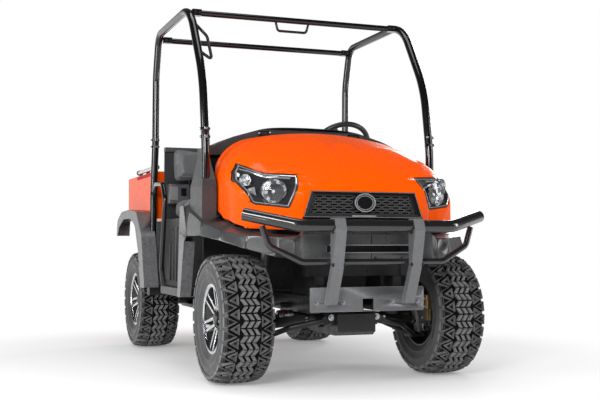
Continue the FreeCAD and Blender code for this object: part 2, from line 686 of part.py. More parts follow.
def cowl():
    """Dash top moulding behind the hood."""
    profile = [(-377, 1100), (-377, 1236), (-400, 1256), (-470, 1268), (-560, 1262), (-640, 1226),
               (-640, 1150), (-381, 1150), (-381, 1100)]
    top = side_slab([(front(x), z) for x, z in profile], (-566, 566), [0, 14, 30, 60, 40, 20, 0, 0, 0])
    crown = [(562, 1090), (562, 1124), (500, 1161), (420, 1196), (240, 1249), (0, 1267)]
    radii = [0, 20, 150, 150, 500, 900, 500, 150, 150, 20, 0]
    across = face_slab(crown + [(-y, z) for y, z in crown[-2::-1]], (front(-700), front(-300)), radii)
    under = [(558, 1080), (558, 1121), (498, 1157), (419, 1192), (239, 1245), (0, 1263)]
    inner = face_slab(under + [(-y, z) for y, z in under[-2::-1]], (front(-636), front(-381)), radii)
    pockets = [box((front(-402), front(-360)), (y - 34, y + 34), (1090, hood_hinge.z + 14))
               for y in (hood_hinge_side, -hood_hinge_side)]
    return top.common(across).cut([inner] + pockets)


def dashboard():
    """Instrument panel facing the driver, with shelves and a glove opening."""
    face = hoop_x - hoop_radius - pin_clearance
    panel = side_slab([(face, 1150), (front(-636), 1150), (front(-612), 1010), (front(-560), 900),
                       (face, 900)], (-540, 540), [0, 8, 20, 20, 0])
    shell = side_slab([(front(-470), 1144), (front(-629), 1144), (front(-606), 1012),
                       (front(-556), 906), (front(-470), 906)], (-534, 534))
    shelf = side_slab([(front(-700), 960), (front(-560), 960), (front(-560), 1040), (front(-700), 1040)],
                      (-470, -60), 10)
    column = rod(wheel_hub, wheel_hub - wheel_axis() * 400, column_radius + 0.5)
    return panel.cut([shell, shelf, column])


def firewall():
    """Steel bulkhead ahead of the footwell, with the hood's hinge posts."""
    x1 = hoop_x + hoop_radius
    notch = box((x1 - 10, x1 + 16), (hoop_side - 12, hoop_side + 32),
                (post_foot_height - 51, post_foot_height - 2))
    sheet_panel = box((x1, x1 + 6), (-560, 560), (floor_top, 1086)).cut([notch, mirrored(notch)])
    x, z = hood_hinge.x, hood_hinge.z
    posts = []
    for y in (hood_hinge_side, -hood_hinge_side):
        for side in (1, -1):
            cheek = sorted((y + side * 14, y + side * 22))
            posts.append(side_slab([(x1 + 1, 1060), (x1 + 30, 1060), (x + 12, z - 12), (x + 8, z + 10),
                                    (x - 10, z + 10)], cheek))
        posts.append(rod((x, y - 22, z), (x, y + 22, z), hood_pin_radius))
    return fuse([sheet_panel] + posts)


def post_covers():
    """Boots over the feet of the roll frame's front posts."""
    span, low, high = (front(-500), front(-100)), hood_half_width + panel_gap, rops_side + 28
    radii = [0, 12, 20, 60, 20, 20, 0]
    outer = side_slab([(front(-160), 700), (front(-158), 930), (front(-178), 962), (front(-300), 1090),
                       (front(-340), 1106), (front(-387), 1106), (front(-387), 700)], (low, high), radii)
    outer = outer.common(face_slab([(low - 2, 690), (high, 690), (high, 930), (high - 42, 1110),
                                    (low - 2, 1110)], span))
    inner = side_slab([(front(-165), 690), (front(-163), 928), (front(-182), 958), (front(-302), 1085),
                       (front(-342), 1101), (front(-382), 1101), (front(-382), 690)],
                      (low - 8, high), radii)
    inner = inner.common(face_slab([(low - 8, 680), (high - 4, 680), (high - 4, 930), (high - 46, 1110),
                                    (low - 8, 1110)], span))
    post = rod((front(-rops_post_x), rops_side, 600), (front(-rops_post_x), rops_side, 1120), post_hole)
    return outer.cut([inner, post, strip_mass(STRIP[:3])])


def floor_pan():
    """Footwell floor with its sills and the front toe board."""
    notch = box((front(-474), front(-430)), (hoop_side - 18, hoop_side + 18), (rail_top - 1, floor_top + 1))
    pan = box((front(-1010), front(-432)), (-590, 590), (rail_top, floor_top)).cut([notch, mirrored(notch)])
    sill = side_slab([(front(-1010), floor_top + 6), (front(-1010), floor_top - 36),
                      (front(-552), floor_top - 36), (front(-552), floor_top + 6)], (590, 650), 6)
    ribs = [box((front(-870), front(-570)), (y - 4, y + 4), (floor_top, floor_top + 3))
            for y in range(-540, 541, 60)]
    return fuse([pan, sill, mirrored(sill)] + ribs)


# ---- roll frame -------------------------------------------------------------------------
def rops_tubes(side, clearance=0.0):
    """One bent tube: front post, top bar and rear post."""
    # Path of the left side: x, z, bend radius.
    path = [
        (front(-rops_post_x), post_foot_height + 4, 0),
        (front(-rops_post_x), 1130, 500),
        (front(-rops_shoulder_x), rops_shoulder_height, 560),
        (front(-rops_brow_x), rops_top - 4, 260),
        (front(-660), rops_top, 0),
        (front(-1262), rops_top, 90),
        (front(-1334), 1640, 400),
        (front(-1340), 1250, 300),
        (front(-rops_rear_x), 960, 200),
        (front(-rops_rear_x), rail_top + 4, 0),
    ]
    wire = Part.Wire(edges_through([(x, side, z) for x, z, _ in path], [bend for _, _, bend in path], False))
    ring = Part.Wire(Part.makeCircle(rops_tube / 2 + clearance, Vector(path[0][0], side, path[0][1]),
                                     Vector(0, 0, 1)))
    return wire.makePipeShell([ring], True, True)


def rops_sides():
    hoop = rops_tubes(rops_side)
    rings = []
    for x, z, lean in ((front(-206), 1190, -0.12), (front(-1340.5), 1244, 0.02)):
        axis = Vector(lean, 0, 1).normalize()
        for offset in (-24, 16):
            start = Vector(x, rops_side, z) + axis * offset
            rings.append(Part.makeCylinder(rops_tube / 2 + 3.5, 9, start, axis))
    foot = box((front(-rops_post_x - 29), front(-rops_post_x + 29)), (rops_side - 26, rops_side + 26),
               (post_foot_height, post_foot_height + 8))
    rear_foot = box((front(-rops_rear_x - 30), front(-rops_rear_x + 34)), (rops_side - 46, rops_side + 24),
                    (rail_top, rail_top + 8))
    return both(fuse([hoop] + rings + [foot, rear_foot]))


def rops_cross_tubes():
    """Front and rear cross tubes with clamp blocks, and the middle grab loop."""
    reach = rops_side - 56
    post_face = rops_side - post_hole
    pieces = []
    for x, z in ((front(-566), rops_top - 16), (front(-1240), rops_top - 34)):
        bar = rod((x, -reach, z), (x, reach, z), cross_tube_radius)
        clamps = [box((x - 17, x + 17), sorted((side * (reach - 14), side * post_face)), (z - 16, z + 18))
                  for side in (1, -1)]
        pieces.append(fuse([bar] + clamps))
    x, z = front(-566), rops_top - 16
    grab = tube([(x, -128, z), (x - 4, -112, z - 60), (x - 4, 52, z - 60), (x, 68, z)], 7, 18)
    pieces[0] = fuse([pieces[0], grab])
    return Part.makeCompound(pieces)


def grab_handle():
    """Passenger's handle on the front post."""
    shoulder = Vector(front(-rops_shoulder_x), 14 - rops_side, rops_shoulder_height)
    brow = Vector(front(-rops_brow_x), 14 - rops_side, rops_top - 4)
    high = shoulder + (brow - shoulder) * 0.75
    low = shoulder + (brow - shoulder) * 0.34
    bar = tube([high, high + Vector(-22, handle_reach, -52), low + Vector(-30, handle_reach, -30), low],
               handle_radius, 26)
    return bar.cut(mirrored(rops_tubes(rops_side, pin_clearance)))


# ---- cab --------------------------------------------------------------------------------
def seat_base():
    """Moulded box under the seats, open behind for the engine."""
    top = seat_box_height
    profile = [(front(-880), floor_top), (front(-850), 560), (front(-850), top - 52), (front(-870), top),
               (front(-1290), top), (front(-1290), floor_top)]
    outer = side_slab(profile, (-560, 560), [0, 60, 30, 20, 10, 0])
    hollow = [(front(-886), floor_top - 10), (front(-856), 560), (front(-856), top - 54),
              (front(-874), top - 5), (front(-1320), top - 5), (front(-1320), floor_top - 10)]
    inner = side_slab(hollow, (-555, 555), [0, 60, 30, 20, 0, 0])
    return outer.cut(inner)


def pad(x, y, z, radius):
    """Rounded pad between two corners."""
    block = box(x, y, z)
    return block.makeFillet(radius, block.Edges)


def seat_cushions():
    left = pad((front(-cushion_rear), front(-cushion_front)), (seat_gap / 2, cushion_side),
               (seat_box_height + pin_clearance, cushion_height), cushion_radius)
    return both(left)


def backrests():
    depth, width, height = backrest_size
    left = pad((-depth / 2, depth / 2), (0, width), (0, height), backrest_radius)
    left.rotate(Vector(0, 0, 0), Vector(0, 1, 0), -backrest_lean)
    left.translate(Vector(front(-1208), 22, backrest_foot))
    return both(left)


def seat_backs():
    """Panel behind the seats and the posts that hold the backrests."""
    panel = box((front(-1330), front(-1324)), (-562, 562), (rail_top, 1215))
    wings = box((front(-1330), front(-1324)), (-606, 606), (rail_top, 780))
    ribs = []
    for y in (-400, -150, 150, 400):
        ribs.append(fuse([box((front(-1324), front(-1290.3)), (y - 16, y + 16), (780, 1150)),
                          box((front(-1294), front(-1272)), (y - 16, y + 16), (1060, 1120))]))
    top = box((front(-1336), front(-1300)), (-562, 562), (1195, 1221))
    return fuse([panel, wings, top] + ribs)


def hip_guards():
    """Side bars beside the seats."""
    y = 628.0
    bar = tube([(front(-1380), y - 16, 944), (front(-1240), y, 996), (front(-1060), y, 985),
                (front(-1004), y, 900), (front(-1090), y, 520), (front(-1140), y - 22, floor_top + 6)],
               14, 45)
    return both(bar.cut(rops_tubes(rops_side, pin_clearance)))


def rear_fender():
    """Left rear fender: arch over the tyre, lip and the panel ahead of it."""
    foot, top = fender_foot, rear_fender_top
    outline = [(rear(560), foot), (rear(462), 700), (rear(300), top - 20), (rear(60), top),
               (rear(-180), top - 6), (rear(-330), 800), (rear(-350), 700), (rear(-318), 700),
               (rear(-270), 760), (rear(-120), 806), (rear(120), 806), (rear(260), 760), (rear(370), 600),
               (rear(440), foot)]
    radii = [14, 120, 90, 200, 200, 50, 10, 10, 60, 120, 120, 90, 120, 14]
    low, high = body_half_width - rear_fender_width, body_half_width
    outer = side_slab(outline, (low, high), radii)
    inner = [(rear(554), foot - 12), (rear(457), 698), (rear(298), top - 25), (rear(60), top - 5),
             (rear(-178), top - 11), (rear(-325), 797), (rear(-345), 690), (rear(-380), 690),
             (rear(-380), 640), (rear(0), 640), (rear(0), foot - 12)]
    wall = side_slab(inner, (low - 5, high - sheet), [0, 120, 90, 200, 200, 50, 0, 0, 0, 0, 0])
    post = rod((front(-rops_rear_x), rops_side, 380), (front(-rops_rear_x), rops_side, 950), post_hole)
    return outer.cut([wall, post])


def engine():
    """Engine and transaxle as one plain block on its mounts."""
    low = rear_rail_bottom + 10
    block = box((rear(90), front(-1345)), (-160, 160), (low, 690))
    mounts = [box((rear(x - 20), rear(x + 20)), (-rail_side - 20, rail_side + 20),
                  (rear_rail_top, rear_rail_top + 14)) for x in (140, 200)]
    return fuse([block] + mounts)


def muffler():
    """Silencer across the rear of the frame, with its inlet and tail pipe."""
    x, z = rear(-240), 575.0
    shell = rod((x, -150, z), (x, 150, z), 66)
    tail = tube([(x - 20, -105, z), (rear(-330), -105, z), (rear(-390), -105, z - 16)], 18, 40)
    inlet = tube([(x + 20, 60, z), (rear(-60), 60, z), (rear(86), 60, z - 8)], 18, 60)
    straps = [box((x - 20, x + 20), (y - 15, y + 15), (rear_rail_top - 6, z - 40)) for y in (-100, 100)]
    return fuse([shell, tail, inlet] + straps)


def rear_axle_beam():
    """Rear axle tube with its differential and wheel spindles."""
    beam = rod((rear_axle, -wheel_side + 62, axle_height), (rear_axle, wheel_side - 62, axle_height), 34)
    ends = []
    for side in (1, -1):
        ends.append(rod((rear_axle, side * (wheel_side - 66), axle_height),
                        (rear_axle, side * (wheel_side - 46), axle_height), 92))
        ends.append(rod((rear_axle, side * (wheel_side - 60), axle_height),
                        (rear_axle, side * (wheel_side + rim_width / 2 - 42), axle_height), spindle_radius))
    case = Part.makeSphere(96, Vector(rear_axle, 0, axle_height))
    return fuse([beam, case] + ends)


def rear_suspension():
    """Leaf springs with their shackles, and the shock absorbers, left and right."""
    y0, y1 = rail_side + 60, rail_side + 105
    low = axle_height - 34.3
    leaves = []
    for index, reach in enumerate((330, 240, 150)):
        z = low - leaf_thickness * index
        leaves.append(box((rear(-reach), rear(reach)), (y0, y1), (z - leaf_thickness, z)))
    eyes = [rod((rear(x), y0, low - 3), (rear(x), y1, low - 3), 16) for x in (-336, 336)]
    hangers = []
    for x in (-336, 336):
        height = rear_rail_bottom + 40 if x < 0 else rail_bottom + 30
        hangers.append(box((rear(x) - 12, rear(x) + 12), (rail_outer, y1), (height - 30, height)))
        hangers.append(box((rear(x) - 12, rear(x) + 12), (y0, y1), (low - 3, height)))
    return both(fuse(leaves + eyes + hangers))


def wheel_axis():
    lean = math.radians(wheel_lean)
    return Vector(-math.cos(lean), 0, math.sin(lean))


wheel_hub = Vector(front(-744), column_side, 1205)


def steering_wheel():
    """Rim, three spokes and hub of the steering wheel."""
    ring = Part.makeTorus(hand_wheel_radius, hand_grip_radius, Vector(0, 0, 0), Vector(0, 0, 1))
    hub = Part.makeCylinder(42, 34, Vector(0, 0, -34))
    spokes = [box((20, hand_wheel_radius - 2), (-14, 14), (-16, -4)) for _ in range(3)]
    for spoke, turn in zip(spokes, (90, 210, 330)):
        spoke.rotate(Vector(0, 0, 0), Vector(0, 0, 1), turn)
    wheel = fuse([ring, hub] + spokes)
    wheel.Placement = FreeCAD.Placement(wheel_hub, FreeCAD.Rotation(Vector(0, 0, 1), wheel_axis()))
    return wheel


def column():
    axis = wheel_axis()
    return rod(wheel_hub - axis * 400, wheel_hub - axis * 34.3, column_radius)


def controls():
    """Brake and accelerator pedals under the dash."""
    pedals = []
    for y, width in ((400, 70), (270, 110)):
        pedals.append(fuse([
            box((front(-462), front(-439)), (y - 14, y + 14), (735, 775)),
            tube([(front(-452), y, 755), (front(-500), y, 640), (front(-560), y, 560)], 8, 30),
            box((front(-580), front(-552)), (y - width / 2, y + width / 2), (520, 590))]))
    return Part.makeCompound(pedals)


def radiator():
    core = box((front(210), front(250)), (-215, 215), (500, 860))
    tank = box((front(204), front(256)), (214, 258), (500, 860))
    leg = box((front(150), front(254)), (rail_side - 20, rail_side + 20), (rail_top, 500))
    return fuse([core, tank, mirrored(tank), leg, mirrored(leg)])


# ---- guard ------------------------------------------------------------------------------
def front_guard(clearance=0.0):
    """Upper and lower guard tubes."""
    x = front(guard_reach)
    upper = tube([(front(340), 588, 778), (x, 372, guard_height), (x, -372, guard_height),
                  (front(340), -588, 778)], guard_tube / 2 + clearance, 110)
    lower = tube([(front(383), 516, 726), (front(389), 487, 640), (front(424), 344, 568),
                  (front(424), -344, 568), (front(389), -487, 640), (front(383), -516, 726)],
                 guard_lower_tube / 2 + clearance, 46)
    return fuse([upper, lower])


def guard_bars():
    """Bent bars from the plate over the guard tubes, each a channel with two webs."""
    low, high = guard_bar_side - guard_bar_width / 2, guard_bar_side + guard_bar_width / 2
    wall, foot, tip = guard_bar_wall, front(guard_plate_x + guard_plate_thickness), front(front_overhang)
    saddle = guard_tube / 2 + pin_clearance
    top = guard_height + saddle
    outline = [(foot, 376), (front(392), 376), (front(466), 540), (tip, 712), (tip - 18, top + wall),
               (front(436), top + wall), (front(436), top), (tip - 23, top), (tip - wall, 712),
               (front(466) - wall, 541), (front(392) - wall, 386), (foot, 386)]
    radii = [0, 6, 8, 8, 10, 0, 0, 6, 6, 6, 4, 0]
    channel = side_slab(outline, (low, high), radii)
    side = [(front(386), 384), (front(461), 540), (tip - wall / 2, 710), (tip - wall, 716),
            (front(436), 702), (front(438), 560), (foot, 384)]
    webs = [side_slab(side, (y, y + 5)) for y in (low, high - 5)]
    return both(fuse([channel] + webs).cut(front_guard(pin_clearance)))


def guard_mount():
    """Front plate with its window and bolt holes, on braces from the rails."""
    half, back = guard_plate_half_width, front(guard_plate_x)
    plate = face_slab([(-half, guard_plate_low), (half, guard_plate_low), (half, guard_plate_high),
                       (-half, guard_plate_high)], (back, back + guard_plate_thickness), 6)
    window = box((back - 10, back + 20), (-27, 27), (348, 400))
    holes = [rod((back - 10, y, plate_bolt_height), (back + 20, y, plate_bolt_height), 7)
             for y in plate_bolt_sides]
    brace = box((front(190), back), (rail_side - 20, rail_side + 20), (352, 396))
    return fuse([plate.cut([window] + holes), brace, mirrored(brace)])


# ---- cargo bed ----------------------------------------------------------------------------
def bed_tub():
    """Tipping tub: ribbed floor, side and front walls, rolled top rail and sub-rails."""
    z0, z1 = bed_floor_height, bed_floor_height + bed_depth
    half, wall = bed_half_width, bed_wall
    x0, x1 = bed_rear, bed_front
    floor = box((x0, x1), (-half, half), (z0, z0 + wall))
    side = box((x0, x1), (half - wall, half), (z0, z1))
    headboard = box((x1 - wall, x1), (-half, half), (z0, z1))
    rail = box((x0, x1), (half - 34, half), (z1 - 26, z1))
    front_rail = box((x1 - 34, x1), (-half, half), (z1 - 26, z1))
    ribs = [box((x0 + 20, x1 - 20), (y - 18, y + 18), (z0 + wall, z0 + wall + 6))
            for y in range(-480, 481, 120)]
    swages = [box((x - 22, x + 22), (half - wall - 9, half - wall), (z0 + 20, z1 - 40))
              for x in (x0 + 150, (x0 + x1) / 2, x1 - 150)]
    runner = box((bed_hinge_x - 20, x1 - 60), (rail_side - 7, rail_side + 7), (z0 - bed_runner_height, z0))
    lug_top = z0 - bed_runner_height + 1
    lug = side_slab([(bed_hinge_x - 22, bed_hinge_height - 16), (bed_hinge_x + 22, bed_hinge_height - 16),
                     (bed_hinge_x + 30, lug_top), (bed_hinge_x - 30, lug_top)],
                    (rail_side - 7, rail_side + 7), [14, 14, 0, 0])
    low, high = gate_hinge_side + 31, gate_hinge_side + 43
    gate_lugs = [box((gate_hinge_x - 8, x0 + 20), (a, b), (gate_hinge_z - 8, gate_hinge_z + 6))
                 for a, b in ((low, high), (2 * gate_hinge_side - high, 2 * gate_hinge_side - low))]
    gate_pin = rod((gate_hinge_x, 2 * gate_hinge_side - high, gate_hinge_z),
                   (gate_hinge_x, high, gate_hinge_z), gate_pin_radius)
    left = [side, rail, runner, lug, gate_pin] + swages + gate_lugs
    tub = fuse([floor, headboard, front_rail] + left + [mirrored(p) for p in left] + ribs)
    bore = rod((bed_hinge_x, -rail_side - 40, bed_hinge_height),
               (bed_hinge_x, rail_side + 40, bed_hinge_height), bed_pin_radius + pin_clearance)
    return tub.cut(bore)


def tailgate():
    """Drop-down gate with its frame, ribs and hinge barrels."""
    z0, z1 = bed_floor_height + 14, bed_floor_height + bed_depth
    x0, x1 = rear_face, rear_face + tailgate_thickness
    half = bed_half_width - 2
    skin = box((x1 - 5, x1), (-half, half), (z0, z1))
    rails = [box((x0, x1), (-half, half), (z1 - 26, z1)), box((x0 + 6, x1), (-half, half), (z0, z0 + 20))]
    end = box((x0 + 3, x1), (half - 28, half), (z0, z1))
    ends = [end, mirrored(end)]
    ribs = [box((x0 + 8, x1), (y - 16, y + 16), (z0, z1)) for y in (-360, -120, 120, 360)]
    barrels = []
    for y in (gate_hinge_side, -gate_hinge_side):
        barrels.append(rod((gate_hinge_x, y - 30, gate_hinge_z), (gate_hinge_x, y + 30, gate_hinge_z), 9))
        barrels.append(box((gate_hinge_x - 7, gate_hinge_x + 7), (y - 30, y + 30), (gate_hinge_z, z0 + 4)))
    bore = rod((gate_hinge_x, -bed_half_width, gate_hinge_z), (gate_hinge_x, bed_half_width, gate_hinge_z),
               gate_pin_radius + pin_clearance)
    return fuse([skin] + rails + ends + ribs + barrels).cut(bore)


def rear_hitch():
    """Rear cross panel with a receiver for a drawbar and the arms that carry the tail lamps."""
    panel = box((rear(-318), rear(-306)), (-rail_outer, rail_outer), (330, 490))
    upright = box((rear(-306), rear(-300)), (rail_side - rail_width / 2, rail_outer), (rear_rail_bottom, 655))
    arm = box((rear(-306), rear(-300)), (rail_side - rail_width / 2, 545), (595, 655))
    arms = [upright, arm, mirrored(upright), mirrored(arm)]
    outer = box((rear(-430), rear(-306)), (-32, 32), (345, 409))
    bore = box((rear(-440), rear(-280)), (-25.5, 25.5), (351.5, 402.5))
    pin = rod((rear(-405), -60, 377), (rear(-405), 60, 377), 8)
    return fuse([panel, outer] + arms).cut([bore, pin])


def tail_lamps():
    return box((rear(-330), rear(-306)), (440, 540), (602, 650))


NODES = {}


def build():
    NODES["chassis_frame"] = chassis_frame()
    NODES["strut_towers"] = strut_towers()
    NODES["cowl_hoop"] = cowl_hoop()
    NODES["rear_supports"] = rear_supports()
    NODES["front_subframe"] = front_subframe()
    NODES["front_lower_arms"] = lower_arms()
    NODES["tie_rods"] = tie_rods()
    upright = knuckle()
    NODES["knuckle_left"] = upright
    NODES["knuckle_right"] = mirrored(upright)
    NODES["hood"] = hood_panel()
    NODES["grille"] = grille()
    lamp = headlamp()
    NODES["headlamp_left"] = lamp
    NODES["headlamp_right"] = mirrored(lamp)
    fender = front_fender()
    NODES["front_fender_left"] = fender
    NODES["front_fender_right"] = mirrored(fender)
    NODES["front_fascia"] = front_fascia()
    NODES["cowl"] = cowl()
    NODES["dashboard"] = dashboard()
    NODES["firewall"] = firewall()
    NODES["post_covers"] = both(post_covers())
    NODES["floor_pan"] = floor_pan()
    NODES["rops_sides"] = rops_sides()
    NODES["rops_cross_tubes"] = rops_cross_tubes()
    NODES["grab_handle"] = grab_handle()
    NODES["seat_base"] = seat_base()
    NODES["seat_cushions"] = seat_cushions()
    NODES["backrests"] = backrests()
    NODES["seat_back_panel"] = seat_backs()
    NODES["hip_guards"] = hip_guards()
    arch = rear_fender()
    NODES["rear_fender_left"] = arch
    NODES["rear_fender_right"] = mirrored(arch)
    NODES["engine"] = engine()
    NODES["muffler"] = muffler()
    NODES["rear_axle"] = rear_axle_beam()
    NODES["rear_suspension"] = rear_suspension()
    NODES["steering_column"] = column()
    NODES["steering_wheel"] = steering_wheel()
    NODES["pedals"] = controls()
    NODES["radiator"] = radiator()
    NODES["front_guard"] = front_guard()
    NODES["guard_mount"] = guard_mount()
    NODES["guard_bars"] = guard_bars()
    NODES["bed_tub"] = bed_tub()
    NODES["tailgate"] = tailgate()
    NODES["rear_hitch"] = rear_hitch()
    NODES["tail_lamps"] = both(tail_lamps())
    for name, x in (("front", front_axle), ("rear", rear_axle)):
        rubber, alloy = tyre(x), rim(x)
        NODES["tyre_%s_left" % name] = rubber
        NODES["tyre_%s_right" % name] = mirrored(rubber)
        NODES["rim_%s_left" % name] = alloy
        NODES["rim_%s_right" % name] = mirrored(alloy)


build()
os.makedirs("parts", exist_ok=True)
for name, shape in NODES.items():
    shape.exportStep("parts/%s.step" % name)
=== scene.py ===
"""A side-by-side utility vehicle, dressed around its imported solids."""
import json
import math

import bpy
from mathutils import Matrix, Vector

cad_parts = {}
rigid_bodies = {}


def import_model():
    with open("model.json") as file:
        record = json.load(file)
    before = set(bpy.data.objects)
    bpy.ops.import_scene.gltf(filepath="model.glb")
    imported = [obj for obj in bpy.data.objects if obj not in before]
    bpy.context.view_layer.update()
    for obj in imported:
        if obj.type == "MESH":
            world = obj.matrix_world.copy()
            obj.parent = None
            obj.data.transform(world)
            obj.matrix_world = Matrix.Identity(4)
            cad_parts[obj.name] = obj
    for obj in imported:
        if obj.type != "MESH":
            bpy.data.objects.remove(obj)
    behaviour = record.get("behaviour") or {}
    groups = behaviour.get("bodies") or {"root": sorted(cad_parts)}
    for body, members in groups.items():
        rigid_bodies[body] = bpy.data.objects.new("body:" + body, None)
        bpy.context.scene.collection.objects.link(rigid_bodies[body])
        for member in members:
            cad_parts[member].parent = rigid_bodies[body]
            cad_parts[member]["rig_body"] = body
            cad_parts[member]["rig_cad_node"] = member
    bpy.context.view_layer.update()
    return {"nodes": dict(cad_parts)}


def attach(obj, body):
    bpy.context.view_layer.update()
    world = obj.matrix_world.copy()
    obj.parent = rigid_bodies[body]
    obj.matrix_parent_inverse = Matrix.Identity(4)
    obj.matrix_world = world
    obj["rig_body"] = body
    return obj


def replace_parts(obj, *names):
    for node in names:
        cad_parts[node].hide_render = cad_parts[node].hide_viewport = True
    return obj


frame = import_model()

# ---- places and sizes, in metres ----
FRONT_AXLE, REAR_AXLE = 0.8725, -0.9275
AXLE_HEIGHT = 0.300
WHEEL_SIDE = 0.535
TYRE_HALF_WIDTH = 0.120
MERGE_GAP = 0.00001
ORIGIN = (0, 0, 0)
FORWARD, LEFTWARD, UPWARD = (1, 0, 0), (0, 1, 0), (0, 0, 1)
# name, axle, side, degrees that the wheel has rolled
WHEELS = (("front_left", FRONT_AXLE, 1, 4), ("front_right", FRONT_AXLE, -1, 11),
          ("rear_left", REAR_AXLE, 1, 17), ("rear_right", REAR_AXLE, -1, 17))


def ahead(distance):
    """x of a place given in millimetres ahead of the front axle."""
    return FRONT_AXLE + distance / 1000


def at(x, y, z):
    """A place from millimetres: ahead of the front axle, to the left, up."""
    return Vector((ahead(x), y / 1000, z / 1000))


# ---- modelling helpers ----
def only(*pieces):
    """Selects these pieces and nothing else; the first one is active."""
    if bpy.context.mode != "OBJECT":
        bpy.ops.object.mode_set(mode="OBJECT")
    bpy.ops.object.select_all(action="DESELECT")
    for piece in pieces:
        piece.select_set(True)
    if pieces:
        bpy.context.view_layer.objects.active = pieces[0]


def settle(piece):
    """Puts a piece's place, turn and size into its mesh."""
    only(piece)
    bpy.ops.object.transform_apply(location=True, rotation=True, scale=True)
    return piece


def turn_to(direction):
    return Vector(direction).to_track_quat("Z", "Y").to_euler()


def block(low, high):
    """A box between two corners."""
    low, high = Vector(low), Vector(high)
    only()
    bpy.ops.mesh.primitive_cube_add(size=1, location=(low + high) / 2)
    piece = bpy.context.object
    piece.scale = high - low
    return settle(piece)


def bar(start, end, radius, sides=24, far_radius=None):
    """A round bar, or a cone where the far radius differs."""
    start, end = Vector(start), Vector(end)
    only()
    bpy.ops.mesh.primitive_cone_add(
        vertices=sides, radius1=radius, radius2=radius if far_radius is None else far_radius,
        depth=(end - start).length, location=(start + end) / 2, rotation=turn_to(end - start))
    return settle(bpy.context.object)


def outline(points, fill="NGON"):
    """A closed outline through the points."""
    only()
    bpy.ops.mesh.primitive_circle_add(vertices=len(points), radius=1, fill_type=fill)
    piece = bpy.context.object
    for vertex, point in zip(piece.data.vertices, points):
        vertex.co = Vector(point)
    return piece


def edit(piece, mode="FACE", action="SELECT"):
    """Opens a piece in edit mode with all or nothing of it selected."""
    only(piece)
    bpy.ops.object.mode_set(mode="EDIT")
    bpy.ops.mesh.select_mode(type=mode)
    bpy.ops.mesh.select_all(action=action)


def done(piece):
    bpy.ops.object.mode_set(mode="OBJECT")
    return piece


def outward(piece):
    """Merges doubles and turns all faces outwards."""
    edit(piece)
    bpy.ops.mesh.remove_doubles(threshold=MERGE_GAP)
    bpy.ops.mesh.normals_make_consistent(inside=False)
    return done(piece)


def slab(points, offset):
    """A plate: an outline extruded along an offset into a closed solid."""
    piece = outline(points)
    edit(piece)
    bpy.ops.mesh.extrude_region_move(TRANSFORM_OT_translate={"value": offset})
    bpy.ops.mesh.select_all(action="SELECT")
    bpy.ops.mesh.normals_make_consistent(inside=False)
    return done(piece)


def spun(profile, centre, axis, steps):
    """A closed outline turned about an axis."""
    piece = outline(profile, "NOTHING")
    edit(piece, "EDGE")
    bpy.ops.mesh.spin(steps=steps, angle=2 * math.pi, center=centre, axis=axis)
    return outward(done(piece))


def use(piece, kind, **settings):
    """Adds a modifier and applies it."""
    only(piece)
    bpy.ops.object.modifier_add(type=kind)
    modifier = piece.modifiers[-1]
    for key, value in settings.items():
        setattr(modifier, key, value)
    bpy.ops.object.modifier_apply(modifier=modifier.name)
    return piece


def smooth(piece, angle=35):
    only(piece)
    bpy.ops.object.shade_smooth_by_angle(angle=math.radians(angle))
    return piece


def soft(piece, width=0.0015, segments=2, angle=30):
    """Rounds the hard edges."""
    use(piece, "BEVEL", width=width, segments=segments, limit_method="ANGLE", angle_limit=math.radians(angle))
    return smooth(piece)


def coated(piece, surface, angle=None):
    """Adds a surface to a part of a piece; with an angle, it is also shaded smooth."""
    if angle is not None:
        smooth(piece, angle)
    piece.data.materials.append(surface)
    return piece


def lathed(profile, surface, angle, steps, upright=False):
    """A part turned at the origin from (radius, along) places, about Y or, upright, about Z."""
    points = [(radius, 0, along) if upright else (0, along, radius) for radius, along in profile]
    return coated(spun(points, ORIGIN, UPWARD if upright else LEFTWARD, steps), surface, angle)


def joined(pieces):
    only(*pieces)
    if len(pieces) > 1:
        bpy.ops.object.join()
    return bpy.context.object


def copied(piece, matrix=Matrix.Identity(4)):
    """A copy with its own mesh, moved or turned."""
    only(piece)
    bpy.ops.object.duplicate()
    twin = bpy.context.object
    twin.data.transform(matrix)
    return twin


def mirrored(piece):
    """A copy on the other side of the vehicle."""
    twin = copied(piece, Matrix.Scale(-1, 4, LEFTWARD))
    edit(twin)
    bpy.ops.mesh.flip_normals()
    return done(twin)


def around(piece, count):
    """Copies of a piece turned about the wheel's axis, joined."""
    turns = [copied(piece, Matrix.Rotation(2 * math.pi * i / count, 4, "Y")) for i in range(count)]
    bpy.data.objects.remove(piece)
    return joined(turns)


def tube(points, radius, bend, sides):
    """A bent tube along straight runs with round corners."""
    corner_pull, run_pull = 0.55, 0.33
    points = [Vector(point) for point in points]
    stops = [points[0]]
    for before, corner, after in zip(points, points[1:], points[2:]):
        back, on = before - corner, after - corner
        reach = min(bend, back.length * 0.49, on.length * 0.49)
        stops += [corner + back.normalized() * reach, corner + on.normalized() * reach]
    stops.append(points[-1])
    only()
    bpy.ops.curve.primitive_bezier_curve_add()
    line = bpy.context.object
    knots = line.data.splines[0].bezier_points
    knots.add(len(stops) - len(knots))
    for i, (knot, stop) in enumerate(zip(knots, stops)):
        bend_starts = i % 2 == 1
        to_corner = stop + (points[(i + 1) // 2] - stop) * corner_pull
        to_run = stop + (stops[i - 1 if bend_starts else i + 1] - stop) * run_pull
        knot.handle_left_type = knot.handle_right_type = "FREE"
        knot.co = stop
        knot.handle_left, knot.handle_right = (to_run, to_corner) if bend_starts else (to_corner, to_run)
    line.data.dimensions = "3D"
    line.data.resolution_u = 8
    line.data.bevel_depth = radius
    line.data.bevel_resolution = max(1, sides // 4 - 1)
    line.data.use_fill_caps = True
    line.matrix_world = Matrix.Identity(4)
    only(line)
    bpy.ops.object.convert(target="MESH")
    return smooth(outward(bpy.context.object), 50)


